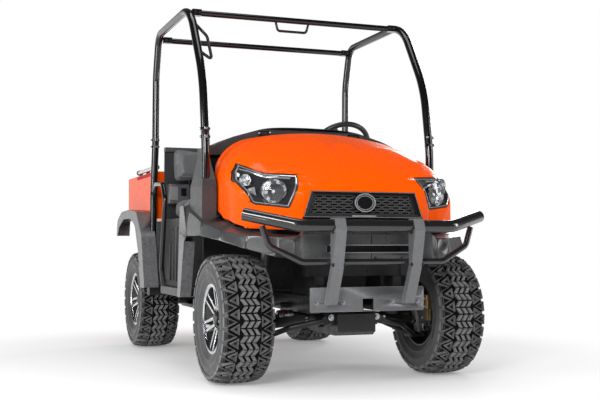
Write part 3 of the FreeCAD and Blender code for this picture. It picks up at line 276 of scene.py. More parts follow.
def ready(name, piece, surface, body="vehicle"):
    """Names a finished piece and gives it its surface and the body it moves with."""
    piece.name = piece.data.name = name
    if surface is not None:
        piece.data.materials.clear()
        piece.data.materials.append(surface)
    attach(piece, body)
    return piece


def dressed(solid, surface, width, angle):
    """A cleaned copy of a solid with softened edges, shown in its place."""
    source = frame["nodes"][solid]
    body = source["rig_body"]
    piece = copied(source)
    only(piece)
    bpy.ops.object.parent_clear(type="CLEAR_KEEP_TRANSFORM")
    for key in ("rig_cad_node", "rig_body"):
        del piece[key]
    edit(piece)
    bpy.ops.mesh.remove_doubles(threshold=MERGE_GAP * 2)
    bpy.ops.mesh.normals_make_consistent(inside=False)
    bpy.ops.mesh.dissolve_limited(angle_limit=math.radians(0.4))
    done(piece)
    if width:
        smooth(soft(piece, width, 2, angle), min(35, angle + 4))
        use(piece, "WEIGHTED_NORMAL", mode="FACE_AREA", weight=50, keep_sharp=True)
    else:
        smooth(piece, angle)
    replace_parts(piece, solid)
    return ready(solid + "_shown", piece, surface, body)


# ---- shared surface effects ----
def group(name, inputs, outputs):
    """A node group with sockets given as label and kind."""
    made = bpy.data.node_groups.new(name, "ShaderNodeTree")
    for side, sockets in (("INPUT", inputs), ("OUTPUT", outputs)):
        for label, kind in sockets.items():
            made.interface.new_socket(label, in_out=side, socket_type="NodeSocket" + kind)
    return made, made.nodes.new("NodeGroupInput").outputs, made.nodes.new("NodeGroupOutput").inputs


def node(tree, kind, links=(), **settings):
    """A node with settings and its inputs linked or set, by name or number."""
    made = tree.nodes.new("ShaderNode" + kind)
    for key, value in settings.items():
        setattr(made, key, value)
    for key, value in dict(links).items():
        if hasattr(value, "is_linked"):
            tree.links.new(value, made.inputs[key])
        else:
            made.inputs[key].default_value = value
    return made


def worked_out(tree, operation, *values, **settings):
    """Output of a sum on values or sockets."""
    return node(tree, "Math", enumerate(values), operation=operation, **settings).outputs[0]


def ranged(tree, value, start, end, to_start=0.0, to_end=1.0, **settings):
    """Output of a value moved from one range to another."""
    return node(tree, "MapRange", {"Value": value, "From Min": start, "From Max": end, "To Min": to_start,
                                   "To Max": to_end}, **settings).outputs[0]


def blended(tree, share, first, second):
    """Output of two colours mixed by a share."""
    return node(tree, "Mix", {0: share, 6: first, 7: second}, data_type="RGBA").outputs[2]


def mottle_group():
    """Slow variation of colour and gloss over a surface."""
    inputs = {"Colour": "Color", **dict.fromkeys(("Roughness", "Scale", "Shade", "Spread"), "Float")}
    tree, start, end = group("mottle", inputs, {"Colour": "Color", "Roughness": "Float"})
    place = node(tree, "TexCoord").outputs["Object"]
    cloud = node(tree, "TexNoise", {"Vector": place, "Scale": start["Scale"], "Detail": 5, "Roughness": 0.6})
    low = worked_out(tree, "SUBTRACT", 1.0, start["Shade"])
    high = worked_out(tree, "ADD", 1.0, start["Shade"])
    share = ranged(tree, cloud.outputs["Fac"], 0.3, 0.7, low, high)
    tint = node(tree, "VectorMath", {0: start["Colour"], "Scale": share}, operation="SCALE")
    fine = node(tree, "TexNoise", {"Vector": place, "Scale": 45.0, "Detail": 4.0})
    swing = ranged(tree, fine.outputs["Fac"], 0.3, 0.7, -1.0, 1.0)
    rough = worked_out(tree, "MULTIPLY_ADD", swing, start["Spread"], start["Roughness"], use_clamp=True)
    tree.links.new(tint.outputs[0], end["Colour"])
    tree.links.new(rough, end["Roughness"])
    return tree


def grain_group():
    """Moulded or cast grain as small bumps."""
    tree, start, end = group("grain", {"Scale": "Float", "Strength": "Float", "Height": "Float"},
                             {"Normal": "Vector"})
    place = node(tree, "TexCoord").outputs["Object"]
    cells = node(tree, "TexVoronoi", {"Vector": place, "Scale": start["Scale"]})
    cloud = node(tree, "TexNoise", {"Vector": place, "Scale": start["Scale"], "Detail": 2.0})
    mixed = worked_out(tree, "MULTIPLY", cells.outputs["Distance"], cloud.outputs["Fac"])
    bump = node(tree, "Bump", {"Height": mixed, "Strength": start["Strength"], "Distance": start["Height"]})
    tree.links.new(bump.outputs["Normal"], end["Normal"])
    return tree


def highlight_and_shade_group():
    """Painted highlight on convex edges, broken up by noise, and painted shade in hollows."""
    tree, start, end = group("painted_edge_highlight_and_hollow_shade", {"Colour": "Color", "Edge Highlight": "Color", "Amount": "Float",
                                           "Hollow Shade": "Float"}, {"Colour": "Color"})
    place = node(tree, "TexCoord").outputs["Object"]
    form = node(tree, "NewGeometry").outputs["Pointiness"]
    cloud = node(tree, "TexNoise", {"Vector": place, "Scale": 60.0, "Detail": 6.0})
    edge_highlight_share = worked_out(tree, "MULTIPLY", ranged(tree, form, 0.52, 0.60), cloud.outputs["Fac"])
    amount = worked_out(tree, "MULTIPLY", edge_highlight_share, start["Amount"], use_clamp=True)
    hollow_shade_share = worked_out(tree, "MULTIPLY", ranged(tree, form, 0.48, 0.42), start["Hollow Shade"], use_clamp=True)
    lit = blended(tree, amount, start["Colour"], start["Edge Highlight"])
    tree.links.new(blended(tree, hollow_shade_share, lit, (0.002, 0.002, 0.002, 1)), end["Colour"])
    return tree


MOTTLE, GRAIN, EDGE_HIGHLIGHT_AND_SHADE = mottle_group(), grain_group(), highlight_and_shade_group()


def material(name, colour, rough, shade, spread, metallic=0.0, coat=0.0, coat_rough=0.05, scale=6.0,
             grain=0.0, grain_scale=700, grain_height=0.0003, edge=None, edge_highlight=0.0, hollow_shade=0.0,
             specular=0.5, sheen=0.0):
    """A surface from the shared effects, with its constants on the shader."""
    made = bpy.data.materials.new(name)
    made.use_nodes = True
    tree = made.node_tree
    shader = tree.nodes["Principled BSDF"]
    for label, value in (("Metallic", metallic), ("Coat Weight", coat), ("Coat Roughness", coat_rough),
                         ("Specular IOR Level", specular), ("Sheen Weight", sheen)):
        shader.inputs[label].default_value = value
    mottle = node(tree, "Group", {"Colour": (*colour, 1), "Roughness": rough, "Scale": scale, "Shade": shade,
                                  "Spread": spread}, node_tree=MOTTLE)
    tint = mottle.outputs["Colour"]
    # A painted highlight on convex edges and painted shade in hollows, set by the edge colour and the two
    # amounts.
    if edge_highlight or hollow_shade:
        tint = node(tree, "Group", {"Colour": tint, "Edge Highlight": (*(edge or colour), 1), "Amount": edge_highlight,
                                    "Hollow Shade": hollow_shade}, node_tree=EDGE_HIGHLIGHT_AND_SHADE).outputs["Colour"]
    tree.links.new(tint, shader.inputs["Base Color"])
    tree.links.new(mottle.outputs["Roughness"], shader.inputs["Roughness"])
    if grain:
        bumps = node(tree, "Group", {"Scale": grain_scale, "Strength": grain, "Height": grain_height},
                     node_tree=GRAIN)
        tree.links.new(bumps.outputs["Normal"], shader.inputs["Normal"])
    return made


# An edge colour with its amount is a painted highlight on convex edges; a hollow amount is painted shade in
# hollows.
# name, colour, roughness, change of shade, change of gloss, finish
ORANGE = material("orange_body", (1.0, 0.096, 0.0), 0.26, 0.02, 0.03, coat=0.25, coat_rough=0.03,
                  specular=0.03)
PLASTIC = material("moulded_plastic", (0.048, 0.049, 0.051), 0.32, 0.08, 0.06, grain=0.3,
                   edge=(0.30, 0.30, 0.31), edge_highlight=0.7, specular=0.55, coat=0.15, coat_rough=0.15)
PALE_PLASTIC = material("pale_plastic", (0.20, 0.20, 0.205), 0.42, 0.06, 0.05, grain=0.2, specular=0.4)
CAB_PLASTIC = material("cab_plastic", (0.030, 0.031, 0.033), 0.38, 0.1, 0.06, grain=0.35,
                       edge=(0.16, 0.16, 0.165), edge_highlight=0.6, specular=0.45)
SMOOTH_PLASTIC = material("smooth_plastic", (0.022, 0.022, 0.024), 0.35, 0.06, 0.05)
GLOSS_BLACK = material("gloss_black", (0.006, 0.006, 0.007), 0.16, 0.05, 0.03, coat=0.7, coat_rough=0.06,
                       specular=0.3)
GUARD_BLACK = material("guard_black", (0.014, 0.014, 0.015), 0.20, 0.05, 0.04, coat=0.8, coat_rough=0.10,
                       grain=0.1)
SATIN_BLACK = material("satin_black", (0.012, 0.012, 0.013), 0.34, 0.1, 0.08, grain=0.1, grain_scale=500,
                       edge=(0.09, 0.09, 0.09), edge_highlight=0.3, specular=0.35)
GREY_COAT = material("grey_powder_coat", (0.118, 0.121, 0.127), 0.32, 0.05, 0.05, grain=0.3,
                     grain_scale=1200, edge=(0.5, 0.5, 0.5), edge_highlight=0.6)
VINYL = material("seat_vinyl", (0.095, 0.097, 0.102), 0.46, 0.08, 0.07, grain=0.5, grain_scale=420,
                 grain_height=0.0005, sheen=0.15)
RUBBER = material("tyre_rubber", (0.085, 0.085, 0.088), 0.42, 0.45, 0.12, scale=38.0, grain=0.3,
                  grain_scale=420, edge=(0.26, 0.26, 0.26), edge_highlight=0.8, hollow_shade=0.5, specular=0.3)
# Near black: painted shade in the tyre's grooves and pits, behind the grille and along the hood's lower edge;
# also the black of the seat latch hooks and fascia seams.
BLACK_AND_PAINTED_SHADE = material("near_black_and_painted_shade", (0.0025, 0.0025, 0.0025), 0.8, 0.2, 0.1, specular=0.15)
SIDEWALL = material("tyre_sidewall", (0.075, 0.076, 0.078), 0.42, 0.2, 0.1, grain=0.3, grain_scale=500,
                    edge=(0.28, 0.28, 0.28), edge_highlight=0.6, hollow_shade=0.5, specular=0.3)
MACHINED = material("machined_alloy", (0.72, 0.73, 0.75), 0.20, 0.05, 0.06, metallic=1.0)
BLACK_ALLOY = material("black_alloy", (0.018, 0.018, 0.019), 0.30, 0.1, 0.05, coat=0.4)
STEEL = material("plated_steel", (0.52, 0.52, 0.53), 0.28, 0.15, 0.12, metallic=1.0, hollow_shade=0.4)
CAST = material("cast_metal", (0.16, 0.16, 0.165), 0.5, 0.25, 0.12, metallic=0.6, grain=0.5,
                grain_scale=350, grain_height=0.0006, hollow_shade=0.4)
BRONZE = material("yellow_zinc", (0.45, 0.30, 0.13), 0.38, 0.2, 0.12, metallic=0.8, hollow_shade=0.3)
# Nearly white and barely metallic: a painted reflection standing for the bright chrome of the lamps.
BRIGHT_PAINTED_CHROME = material("painted_chrome_reflection", (0.92, 0.93, 0.94), 0.22, 0.02, 0.02, metallic=0.12)
LAMP_GREY = material("lamp_grey", (0.34, 0.345, 0.36), 0.22, 0.05, 0.03, metallic=0.5)
DARK_CHROME = material("dark_chrome", (0.30, 0.30, 0.32), 0.14, 0.05, 0.03, metallic=1.0)
SILVER = material("silver_trim", (0.62, 0.63, 0.65), 0.24, 0.06, 0.05, metallic=0.7, coat=0.5)
LAMP_HOUSING = material("lamp_housing", (0.026, 0.026, 0.028), 0.22, 0.1, 0.05, coat=0.5)
RAIL_SHADE_RED = material("painted_rail_shade", (0.48, 0.004, 0.012), 0.5, 0.08, 0.04, specular=0.1)
RED_LENS = material("red_lens", (0.42, 0.008, 0.006), 0.12, 0.08, 0.02, coat=0.9)
MESH_GREY = material("grille_mesh", (0.16, 0.16, 0.165), 0.35, 0.1, 0.06, specular=0.5)
PIPING = material("seat_piping", (0.16, 0.163, 0.17), 0.4, 0.08, 0.06, grain=0.3, grain_scale=600)


def clear_lens():
    made = bpy.data.materials.new("clear_lens")
    made.use_nodes = True
    shader = made.node_tree.nodes["Principled BSDF"]
    for label, value in (("Base Color", (0.97, 0.98, 1.0, 1)), ("Roughness", 0.02), ("IOR", 1.35),
                         ("Transmission Weight", 1.0)):
        shader.inputs[label].default_value = value
    return made


LENS = clear_lens()

# ---- solids shown with softened edges ----
EDGE = 0.0012
# surface, slot, edge width, crease angle, solids; finely faceted ones keep their own edges
DRESSED = (
    (SATIN_BLACK, "black_satin", EDGE, 32, (
        "chassis_frame", "front_subframe", "strut_towers", "rear_supports", "firewall", "rear_axle",
        "rear_suspension", "steering_column", "pedals", "radiator", "rear_hitch")),
    (SATIN_BLACK, "black_satin", 0, 32, ("cowl_hoop", "front_lower_arms", "grab_handle")),
    (SMOOTH_PLASTIC, "black_satin", 0, 32, ("steering_wheel",)),
    (GLOSS_BLACK, "black_gloss", 0, 32, ("rops_sides", "rops_cross_tubes", "hip_guards")),
    (GUARD_BLACK, "black_gloss", 0, 32, ("front_guard",)),
    (GREY_COAT, "grey_paint", EDGE, 7, ("guard_bars",)),
    (GREY_COAT, "grey_paint", 0, 7, ("guard_mount",)),
    (ORANGE, "orange_paint", EDGE, 32, ("bed_tub", "tailgate")),
    (ORANGE, "orange_paint", 0, 32, ("hood",)),
    (PLASTIC, "dark_plastic", 0, 32, (
        "front_fender_left", "front_fender_right", "rear_fender_left", "rear_fender_right")),
    (PLASTIC, "dark_plastic", 0, 14, ("front_fascia",)),
    (CAB_PLASTIC, "dark_plastic", EDGE, 32, (
        "cowl", "dashboard", "floor_pan", "seat_base", "seat_back_panel")),
    (CAB_PLASTIC, "dark_plastic", EDGE, 14, ("post_covers",)),
    (SMOOTH_PLASTIC, "dark_plastic", EDGE, 32, ("grille",)),
    (CAST, "casting", EDGE, 32, ("engine", "knuckle_left", "knuckle_right")),
    (STEEL, "steel", EDGE, 32, ("muffler",)),
    (STEEL, "steel", 0, 32, ("tie_rods",)),
    (RED_LENS, "red_lens", EDGE, 32, ("tail_lamps",)),
)
shown = {}
for surface, slot, width, crease, solids in DRESSED:
    for solid in solids:
        shown[solid] = dressed(solid, surface, width, crease)


def painted(piece, surface, chosen):
    """Gives the faces that a test picks another surface."""
    coated(piece, surface)
    number = len(piece.data.materials) - 1
    for face in piece.data.polygons:
        if chosen(face.center):
            face.material_index = number


HOOD_REAR, ARM_FRONT, ARM_TOP, ARM_SIDE, ARM_HALF_WIDTH = ahead(-362.5), ahead(-300), 1.19, 0.25, 0.013
BOSS_BACK, BOSS_HEIGHT, BOSS_HALF_WIDTH, BOSS_HALF_HEIGHT = ahead(302), 0.836, 0.053, 0.0435


def hinge_side(place):
    """The hood's rear edge and its two hinge arms."""
    beside_arm = abs(abs(place.y) - ARM_SIDE) < ARM_HALF_WIDTH
    return place.x < HOOD_REAR or (place.x < ARM_FRONT and place.z < ARM_TOP and beside_arm)


def badge_boss(place):
    near = abs(place.y) < BOSS_HALF_WIDTH and abs(place.z - BOSS_HEIGHT) < BOSS_HALF_HEIGHT
    return near and place.x > BOSS_BACK


painted(shown["hood"], SATIN_BLACK, hinge_side)
painted(shown["grille"], GLOSS_BLACK, badge_boss)

# ---- wheels ----
PITCHES = 28            # tread pitches round a tyre
WRAP_RADIUS = 0.297     # where the flat tread blocks keep their length
PITCH = 2 * math.pi * WRAP_RADIUS / PITCHES
BLOCK_DEPTH = 0.013
BLOCK_ROOT = 1.25       # depth of a block's foot, as a share of the block's depth
BLOCK_TAPER_ALONG, BLOCK_TAPER_ACROSS = 0.09, 0.07
PIT_RIM, PIT_DEPTH = 0.0085, 0.010
SPOKE_PAIRS, WHEEL_NUTS = 6, 4
SPOKE_ROOT, SPOKE_LENGTH, SPOKE_DISH = 0.040, 0.108, 0.020
# distance from the tyre's middle, tread radius
CROWN = ((0.0, 0.2996), (0.045, 0.2990), (0.080, 0.2965), (0.100, 0.293), (0.113, 0.287), (0.120, 0.276))
# Shoulder blocks of one pitch: corners as (across, share of the pitch), left side.
SHOULDER = (((0.052, 0.03), (0.094, 0.43), (0.052, 0.83)),
            ((0.060, 0.93), (0.1085, 0.53), (0.1195, 0.53), (0.1195, 1.33), (0.1085, 1.33)))


def crown(y):
    """Tread radius at a distance from the tyre's middle."""
    y = abs(y)
    for (y0, r0), (y1, r1) in zip(CROWN, CROWN[1:]):
        if y <= y1:
            return r0 + (r1 - r0) * (y - y0) / (y1 - y0)
    return CROWN[-1][1]


def zigzag_blocks():
    """Middle of one pitch: three ribs whose bars lean one way and then the other."""
    made = []
    half, swing, gap, rib_spacing = 0.0088, 0.0095, 0.0022, 0.0285
    for rib in (-1, 0, 1):
        for row, lean in ((0, swing), (1, -swing)):
            start, end = row * PITCH / 2 + gap, (row + 1) * PITCH / 2 - gap
            near, far = rib * rib_spacing - lean, rib * rib_spacing + lean
            made.append([(near - half, start), (near + half, start), (far + half, end), (far - half, end)])
    return made


def raised_block(corners, pitted):
    """One tread block on the carcass, wrapped round the tyre; a pit sinks the middle of its top."""
    piece = outline([(along, y, crown(y) - BLOCK_DEPTH) for y, along in corners])
    edit(piece)
    bpy.ops.mesh.extrude_region_move(TRANSFORM_OT_translate={"value": (0, 0, BLOCK_DEPTH)})
    done(piece)
    vertices = piece.data.vertices
    centre = sum((vertex.co for vertex in vertices), Vector()) / len(vertices)
    for vertex in vertices:
        raised = vertex.co.z > crown(vertex.co.y) - BLOCK_DEPTH * 0.5
        vertex.co.z = crown(vertex.co.y) - (0 if raised else BLOCK_DEPTH * BLOCK_ROOT)
        if raised:
            vertex.co.x += (centre.x - vertex.co.x) * BLOCK_TAPER_ALONG
            vertex.co.y += (centre.y - vertex.co.y) * BLOCK_TAPER_ACROSS
    coated(coated(outward(piece), RUBBER), BLACK_AND_PAINTED_SHADE)
    # The pit's walls and floor take the near-black surface: painted shade inside the pit.
    if pitted:
        edit(piece, action="DESELECT")
        done(piece)
        max(piece.data.polygons, key=lambda face: face.normal.z).select = True
        bpy.ops.object.mode_set(mode="EDIT")
        bpy.ops.mesh.inset(thickness=PIT_RIM, depth=-PIT_DEPTH)
        piece.active_material_index = 1
        bpy.ops.object.material_slot_assign()
        done(piece)
    for vertex in piece.data.vertices:
        turn = vertex.co.x / WRAP_RADIUS
        vertex.co.x, vertex.co.z = vertex.co.z * math.sin(turn), vertex.co.z * math.cos(turn)
    return piece


def tread():
    """One pitch of raised blocks, repeated round the tyre."""
    made = [raised_block(corners, False) for corners in zigzag_blocks()]
    for side, phase in ((-1, PITCH / 2), (1, 0.0)):
        for shape in SHOULDER:
            made.append(raised_block([(side * y, share * PITCH + phase) for y, share in shape], True))
    piece = soft(joined(made), 0.0011, 1, 40)
    edit(piece)
    bpy.ops.mesh.spin(steps=PITCHES, angle=2 * math.pi, dupli=True, center=ORIGIN, axis=LEFTWARD)
    return done(piece)


def tyre():
    """Carcass with sidewall ribs under the tread blocks, around the origin."""
    half, bead, bead_radius, tread_line = TYRE_HALF_WIDTH, 0.088, 0.150, 0.2785
    # radius, distance from the middle
    side = [(0.155, bead), (0.160, bead + 0.012), (0.168, bead + 0.016), (0.174, half - 0.013),
            (0.186, half - 0.007), (0.188, half - 0.004), (0.193, half - 0.004), (0.195, half - 0.006),
            (0.222, half - 0.0015), (0.224, half), (0.230, half), (0.232, half - 0.0015),
            (0.250, half - 0.002), (0.262, half - 0.006), (0.272, half - 0.011), (0.2795, half - 0.020),
            (0.2830, 0.085), (0.2855, 0.060), (0.2862, 0.030)]
    profile = side + [(r, -y) for r, y in reversed(side)] + [(bead_radius, -bead), (bead_radius, bead)]
    body = coated(lathed(profile, SIDEWALL, 45, 96), BLACK_AND_PAINTED_SHADE)
    # The carcass beyond the tread line, between the blocks, takes the near-black surface: painted shade in
    # the grooves.
    for face in body.data.polygons:
        face.material_index = 1 if math.hypot(face.center.x, face.center.z) > tread_line else 0
    return joined([body, tread()])


def rim():
    """Split-spoke wheel around the origin; the outer face is towards +Y."""
    # radius, distance from the middle
    barrel = [(0.153, 0.1005), (0.1665, 0.1005), (0.1665, 0.095), (0.155, 0.092), (0.1525, 0.078),
              (0.142, 0.066), (0.138, -0.060), (0.1525, -0.078), (0.155, -0.092), (0.1665, -0.095),
              (0.1665, -0.1005), (0.153, -0.1005), (0.148, -0.085), (0.134, -0.055), (0.137, 0.064),
              (0.147, 0.080)]
    lip = [(0.1665, 0.1005), (0.1665, 0.1012), (0.15, 0.1012), (0.146, 0.096), (0.146, 0.09), (0.152, 0.097)]
    hub = [(0.0004, 0.030), (0.056, 0.030), (0.056, 0.064), (0.050, 0.070), (0.036, 0.070), (0.034, 0.062),
           (0.0004, 0.062)]
    cap = [(0.0003, 0.060), (0.030, 0.060), (0.030, 0.082), (0.026, 0.086), (0.0003, 0.088)]
    # A dark spoke body with a machined face on it: corners in mm, foot, height, edge, steps, surface.
    layers = ((((6, 40), (26, 44), (30, 148), (14, 149)), 0.036, 0.036, 0.002, 2, BLACK_ALLOY),
              (((8.5, 46), (23.5, 48), (27.5, 147), (16.5, 147)), 0.070, 0.0035, 0.0008, 1, MACHINED))
    blades = []
    for corners, foot, height, edge, steps, surface in layers:
        for side in (-1, 1):
            places = [(side * across / 1000, foot, out / 1000) for across, out in corners]
            blade = slab(places, (0, height, 0))
            for vertex in blade.data.vertices:
                if vertex.co.y > 0.05:
                    vertex.co.y += SPOKE_DISH * (vertex.co.z - SPOKE_ROOT) / SPOKE_LENGTH
            blades.append(coated(soft(outward(blade), edge, steps), surface))
    nut = coated(soft(bar((0, 0.066, 0.046), (0, 0.078, 0.046), 0.0085, 6), 0.001, 1), STEEL)
    return joined([lathed(barrel, BLACK_ALLOY, 40, 72), lathed(lip, MACHINED, 30, 72),
                   around(joined(blades), SPOKE_PAIRS), lathed(hub, BLACK_ALLOY, 35, 48),
                   lathed(cap, SMOOTH_PLASTIC, 35, 40), around(nut, WHEEL_NUTS)])


for kind, master, slot in (("tyre", tyre(), "tyre_rubber"), ("rim", rim(), "alloy")):
    for corner, x, side, rolled in WHEELS:
        place = Matrix.Translation((x, side * WHEEL_SIDE, AXLE_HEIGHT))
        facing = Matrix.Rotation(0 if side > 0 else math.pi, 4, "Z")
        piece = copied(master, place @ Matrix.Rotation(math.radians(rolled), 4, "Y") @ facing)
        solid = "%s_%s" % (kind, corner)
        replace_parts(ready(solid + "_shown", piece, None, "wheel_" + corner), solid)
    bpy.data.objects.remove(master)


# ---- hood skin, for what sits in it ----
# Sections of the hood: x ahead of the front axle, half width, top, shoulder radius, crown slope.
HOOD_SECTIONS = ((-0.470, 0.520, 1.226, 0.240, 12), (-0.280, 0.552, 1.216, 0.222, 12),
                 (-0.060, 0.562, 1.144, 0.184, 11), (0.080, 0.550, 1.074, 0.156, 10),
                 (0.180, 0.524, 1.014, 0.150, 9), (0.250, 0.414, 0.968, 0.084, 8),
                 (0.296, 0.330, 0.924, 0.038, 6), (0.318, 0.300, 0.892, 0.018, 5))
SKIN_BACK, SKIN_NOSE, SKIN_HALVINGS = -0.46, 0.3175, 24


def hood_top(x, y):
    """Height of the hood's section at x, at a distance from the middle; None outside it."""
    for low, high in zip(HOOD_SECTIONS, HOOD_SECTIONS[1:]):
        if x <= high[0]:
            break
    share = (x - low[0]) / (high[0] - low[0])
    half, top, radius, slope = [a + (b - a) * share for a, b in zip(low[1:], high[1:])]
    lean = math.radians(slope)
    crown_y = half - radius * (1 - math.sin(lean))
    crown_z = top - crown_y * math.tan(lean / 2)
    y = abs(y)
    if y <= crown_y:
        return top - (top - crown_z) * (y / crown_y) ** 2
    if y >= half:
        return None
    centre_y, centre_z = half - radius, crown_z - radius * math.cos(lean)
    return centre_z + math.sqrt(max(radius ** 2 - (y - centre_y) ** 2, 0))


def hood_reach(y, z):
    """How far forward the hood's skin stands at a place seen from the front."""
    low, high = SKIN_BACK, SKIN_NOSE
    for _ in range(SKIN_HALVINGS):
        middle = (low + high) / 2
        top = hood_top(middle, y)
        if top is not None and z <= top:
            low = middle
        else:
            high = middle
    return low


def on_hood(y, z, sink=0.0):
    return Vector((ahead(0) + hood_reach(y, z) - sink, y, z))


def skin_line(points, sink):
    """Places on the hood's skin, or sunk behind it, seen from the front as (y, z)."""
    return [on_hood(y, z, sink) for y, z in points]


def rounded(points, radii, steps=5):
    """Corner points of a flat outline replaced by arcs."""
    made = []
    count = len(points)
    for i, (corner, radius) in enumerate(zip(points, radii)):
        corner = Vector(corner)
        before, after = Vector(points[i - 1]) - corner, Vector(points[(i + 1) % count]) - corner
        half = before.angle(after) / 2
        reach = min(radius / math.tan(half), before.length * 0.48, after.length * 0.48)
        start, end = corner + before.normalized() * reach, corner + after.normalized() * reach
        for step in range(steps + 1):
            t = step / steps
            made.append(start * (1 - t) ** 2 + corner * 2 * t * (1 - t) + end * t ** 2)
    return made


def spaced(points, gap):
    """Points of a closed outline at even gaps."""
    made = []
    for a, b in zip(points, points[1:] + [points[0]]):
        parts = max(1, round((b - a).length / gap))
        made += [a.lerp(b, i / parts) for i in range(parts)]
    return made


def inset(points, distance):
    """A flat closed outline moved inwards."""
    centre = sum(points, Vector((0, 0))) / len(points)
    made = []
    for i, point in enumerate(points):
        along = (points[(i + 1) % len(points)] - points[i - 1]).normalized()
        normal = Vector((-along.y, along.x))
        if normal.dot(centre - point) < 0:
            normal = -normal
        made.append(point + normal * distance)
    return made


def draped(rows, closed=False, capped=False):
    """A skin through rows of points; closed joins each row's ends."""
    rows = [list(row) + [row[0]] if closed else list(row) for row in rows]
    only()
    bpy.ops.mesh.primitive_grid_add(x_subdivisions=len(rows[0]) - 1, y_subdivisions=len(rows) - 1, size=1)
    piece = bpy.context.object
    for vertex, point in zip(piece.data.vertices, sum(rows, [])):
        vertex.co = Vector(point)
    if closed:
        edit(piece)
        bpy.ops.mesh.remove_doubles(threshold=MERGE_GAP)
        if capped:
            edit(piece, "EDGE", "DESELECT")
            bpy.ops.mesh.select_non_manifold()
            bpy.ops.mesh.edge_face_add()
        done(piece)
    return piece


# ---- headlamps ----
def round_lamp(radius, depth, facets):
    """A round lamp facing +Z at the origin: faceted bowl, ring, centre shield, fins and glass."""
    rows = []
    for share, sink in ((0.97, 0.0), (0.90, 0.30), (0.72, 0.62), (0.50, 0.82), (0.26, 0.95)):
        row = []
        for i in range(facets * 2):
            turn, reach = math.pi * i / facets, radius * share * (1.0 if i % 2 else 0.955)
            row.append((reach * math.cos(turn), reach * math.sin(turn), -depth * sink))
        rows.append(row)
    bowl = use(draped(rows, closed=True), "SOLIDIFY", thickness=0.002, offset=1)
    # Alternate facets of the bowl are bright and grey: painted reflection on one chrome reflector.
    coated(coated(bowl, BRIGHT_PAINTED_CHROME), LAMP_GREY)
    for face in bowl.data.polygons:
        turn = math.atan2(face.center.y, face.center.x) + math.hypot(face.center.x, face.center.y) / radius
        face.material_index = int((turn + 9) * facets / math.pi * 0.5) % 2
    ring = [(radius * 0.93, -0.004), (radius * 0.97, 0.004), (radius * 1.03, 0.006), (radius * 1.08, 0.0),
            (radius * 1.08, -depth), (radius * 0.99, -depth)]
    shield = [(0.0002, -depth * 0.95), (radius * 0.17, -depth * 0.95), (radius * 0.16, -depth * 0.45),
              (radius * 0.10, -depth * 0.25), (0.0002, -depth * 0.22)]
    dome = radius * 0.10
    glass = [(0.0002, 0.006 + dome), (radius * 0.5, 0.006 + dome * 0.75), (radius * 0.93, 0.005),
             (radius * 0.93, 0.003), (radius * 0.5, 0.003 + dome * 0.75), (0.0002, 0.003 + dome)]
    made = [bowl, lathed(ring, DARK_CHROME, 35, 48, True), lathed(shield, BRIGHT_PAINTED_CHROME, 40, 24, True)]
    fins = 9
    for i in range(fins):
        turn = 2 * math.pi * i / fins + 0.2
        out = Vector((math.cos(turn), math.sin(turn), 0)) * radius
        root, tip = out * 0.30 - Vector((0, 0, depth * 0.90)), out * 0.88 - Vector((0, 0, depth * 0.30))
        made.append(coated(bar(root, tip, radius * 0.035, 6), DARK_CHROME, 40))
    return joined(made + [lathed(glass, LENS, 50, 48, True)])


# Outline of the left lamp seen from the front: (y, z), and the radius of each corner.
LAMP_CORNERS = [(0.297, 0.966), (0.298, 0.943), (0.351, 0.807), (0.502, 0.827), (0.550, 0.945),
                (0.539, 0.988), (0.513, 1.032), (0.491, 1.008), (0.441, 0.973)]
LAMP_RADII = [0.006, 0.030, 0.014, 0.030, 0.030, 0.020, 0.008, 0.020, 0.030]
# Lines across the housing, seen from the front: (y, z).
BROW_LINE = [(0.517, 1.020), (0.491, 1.000), (0.453, 0.973), (0.432, 0.966), (0.380, 0.962), (0.308, 0.960)]
STRIP_TOP = [(0.520, 1.006), (0.490, 0.990), (0.452, 0.963), (0.430, 0.956), (0.380, 0.953), (0.318, 0.951)]
STRIP_LOW = [(0.518, 0.998), (0.488, 0.981), (0.450, 0.954), (0.428, 0.947), (0.380, 0.945), (0.320, 0.943)]


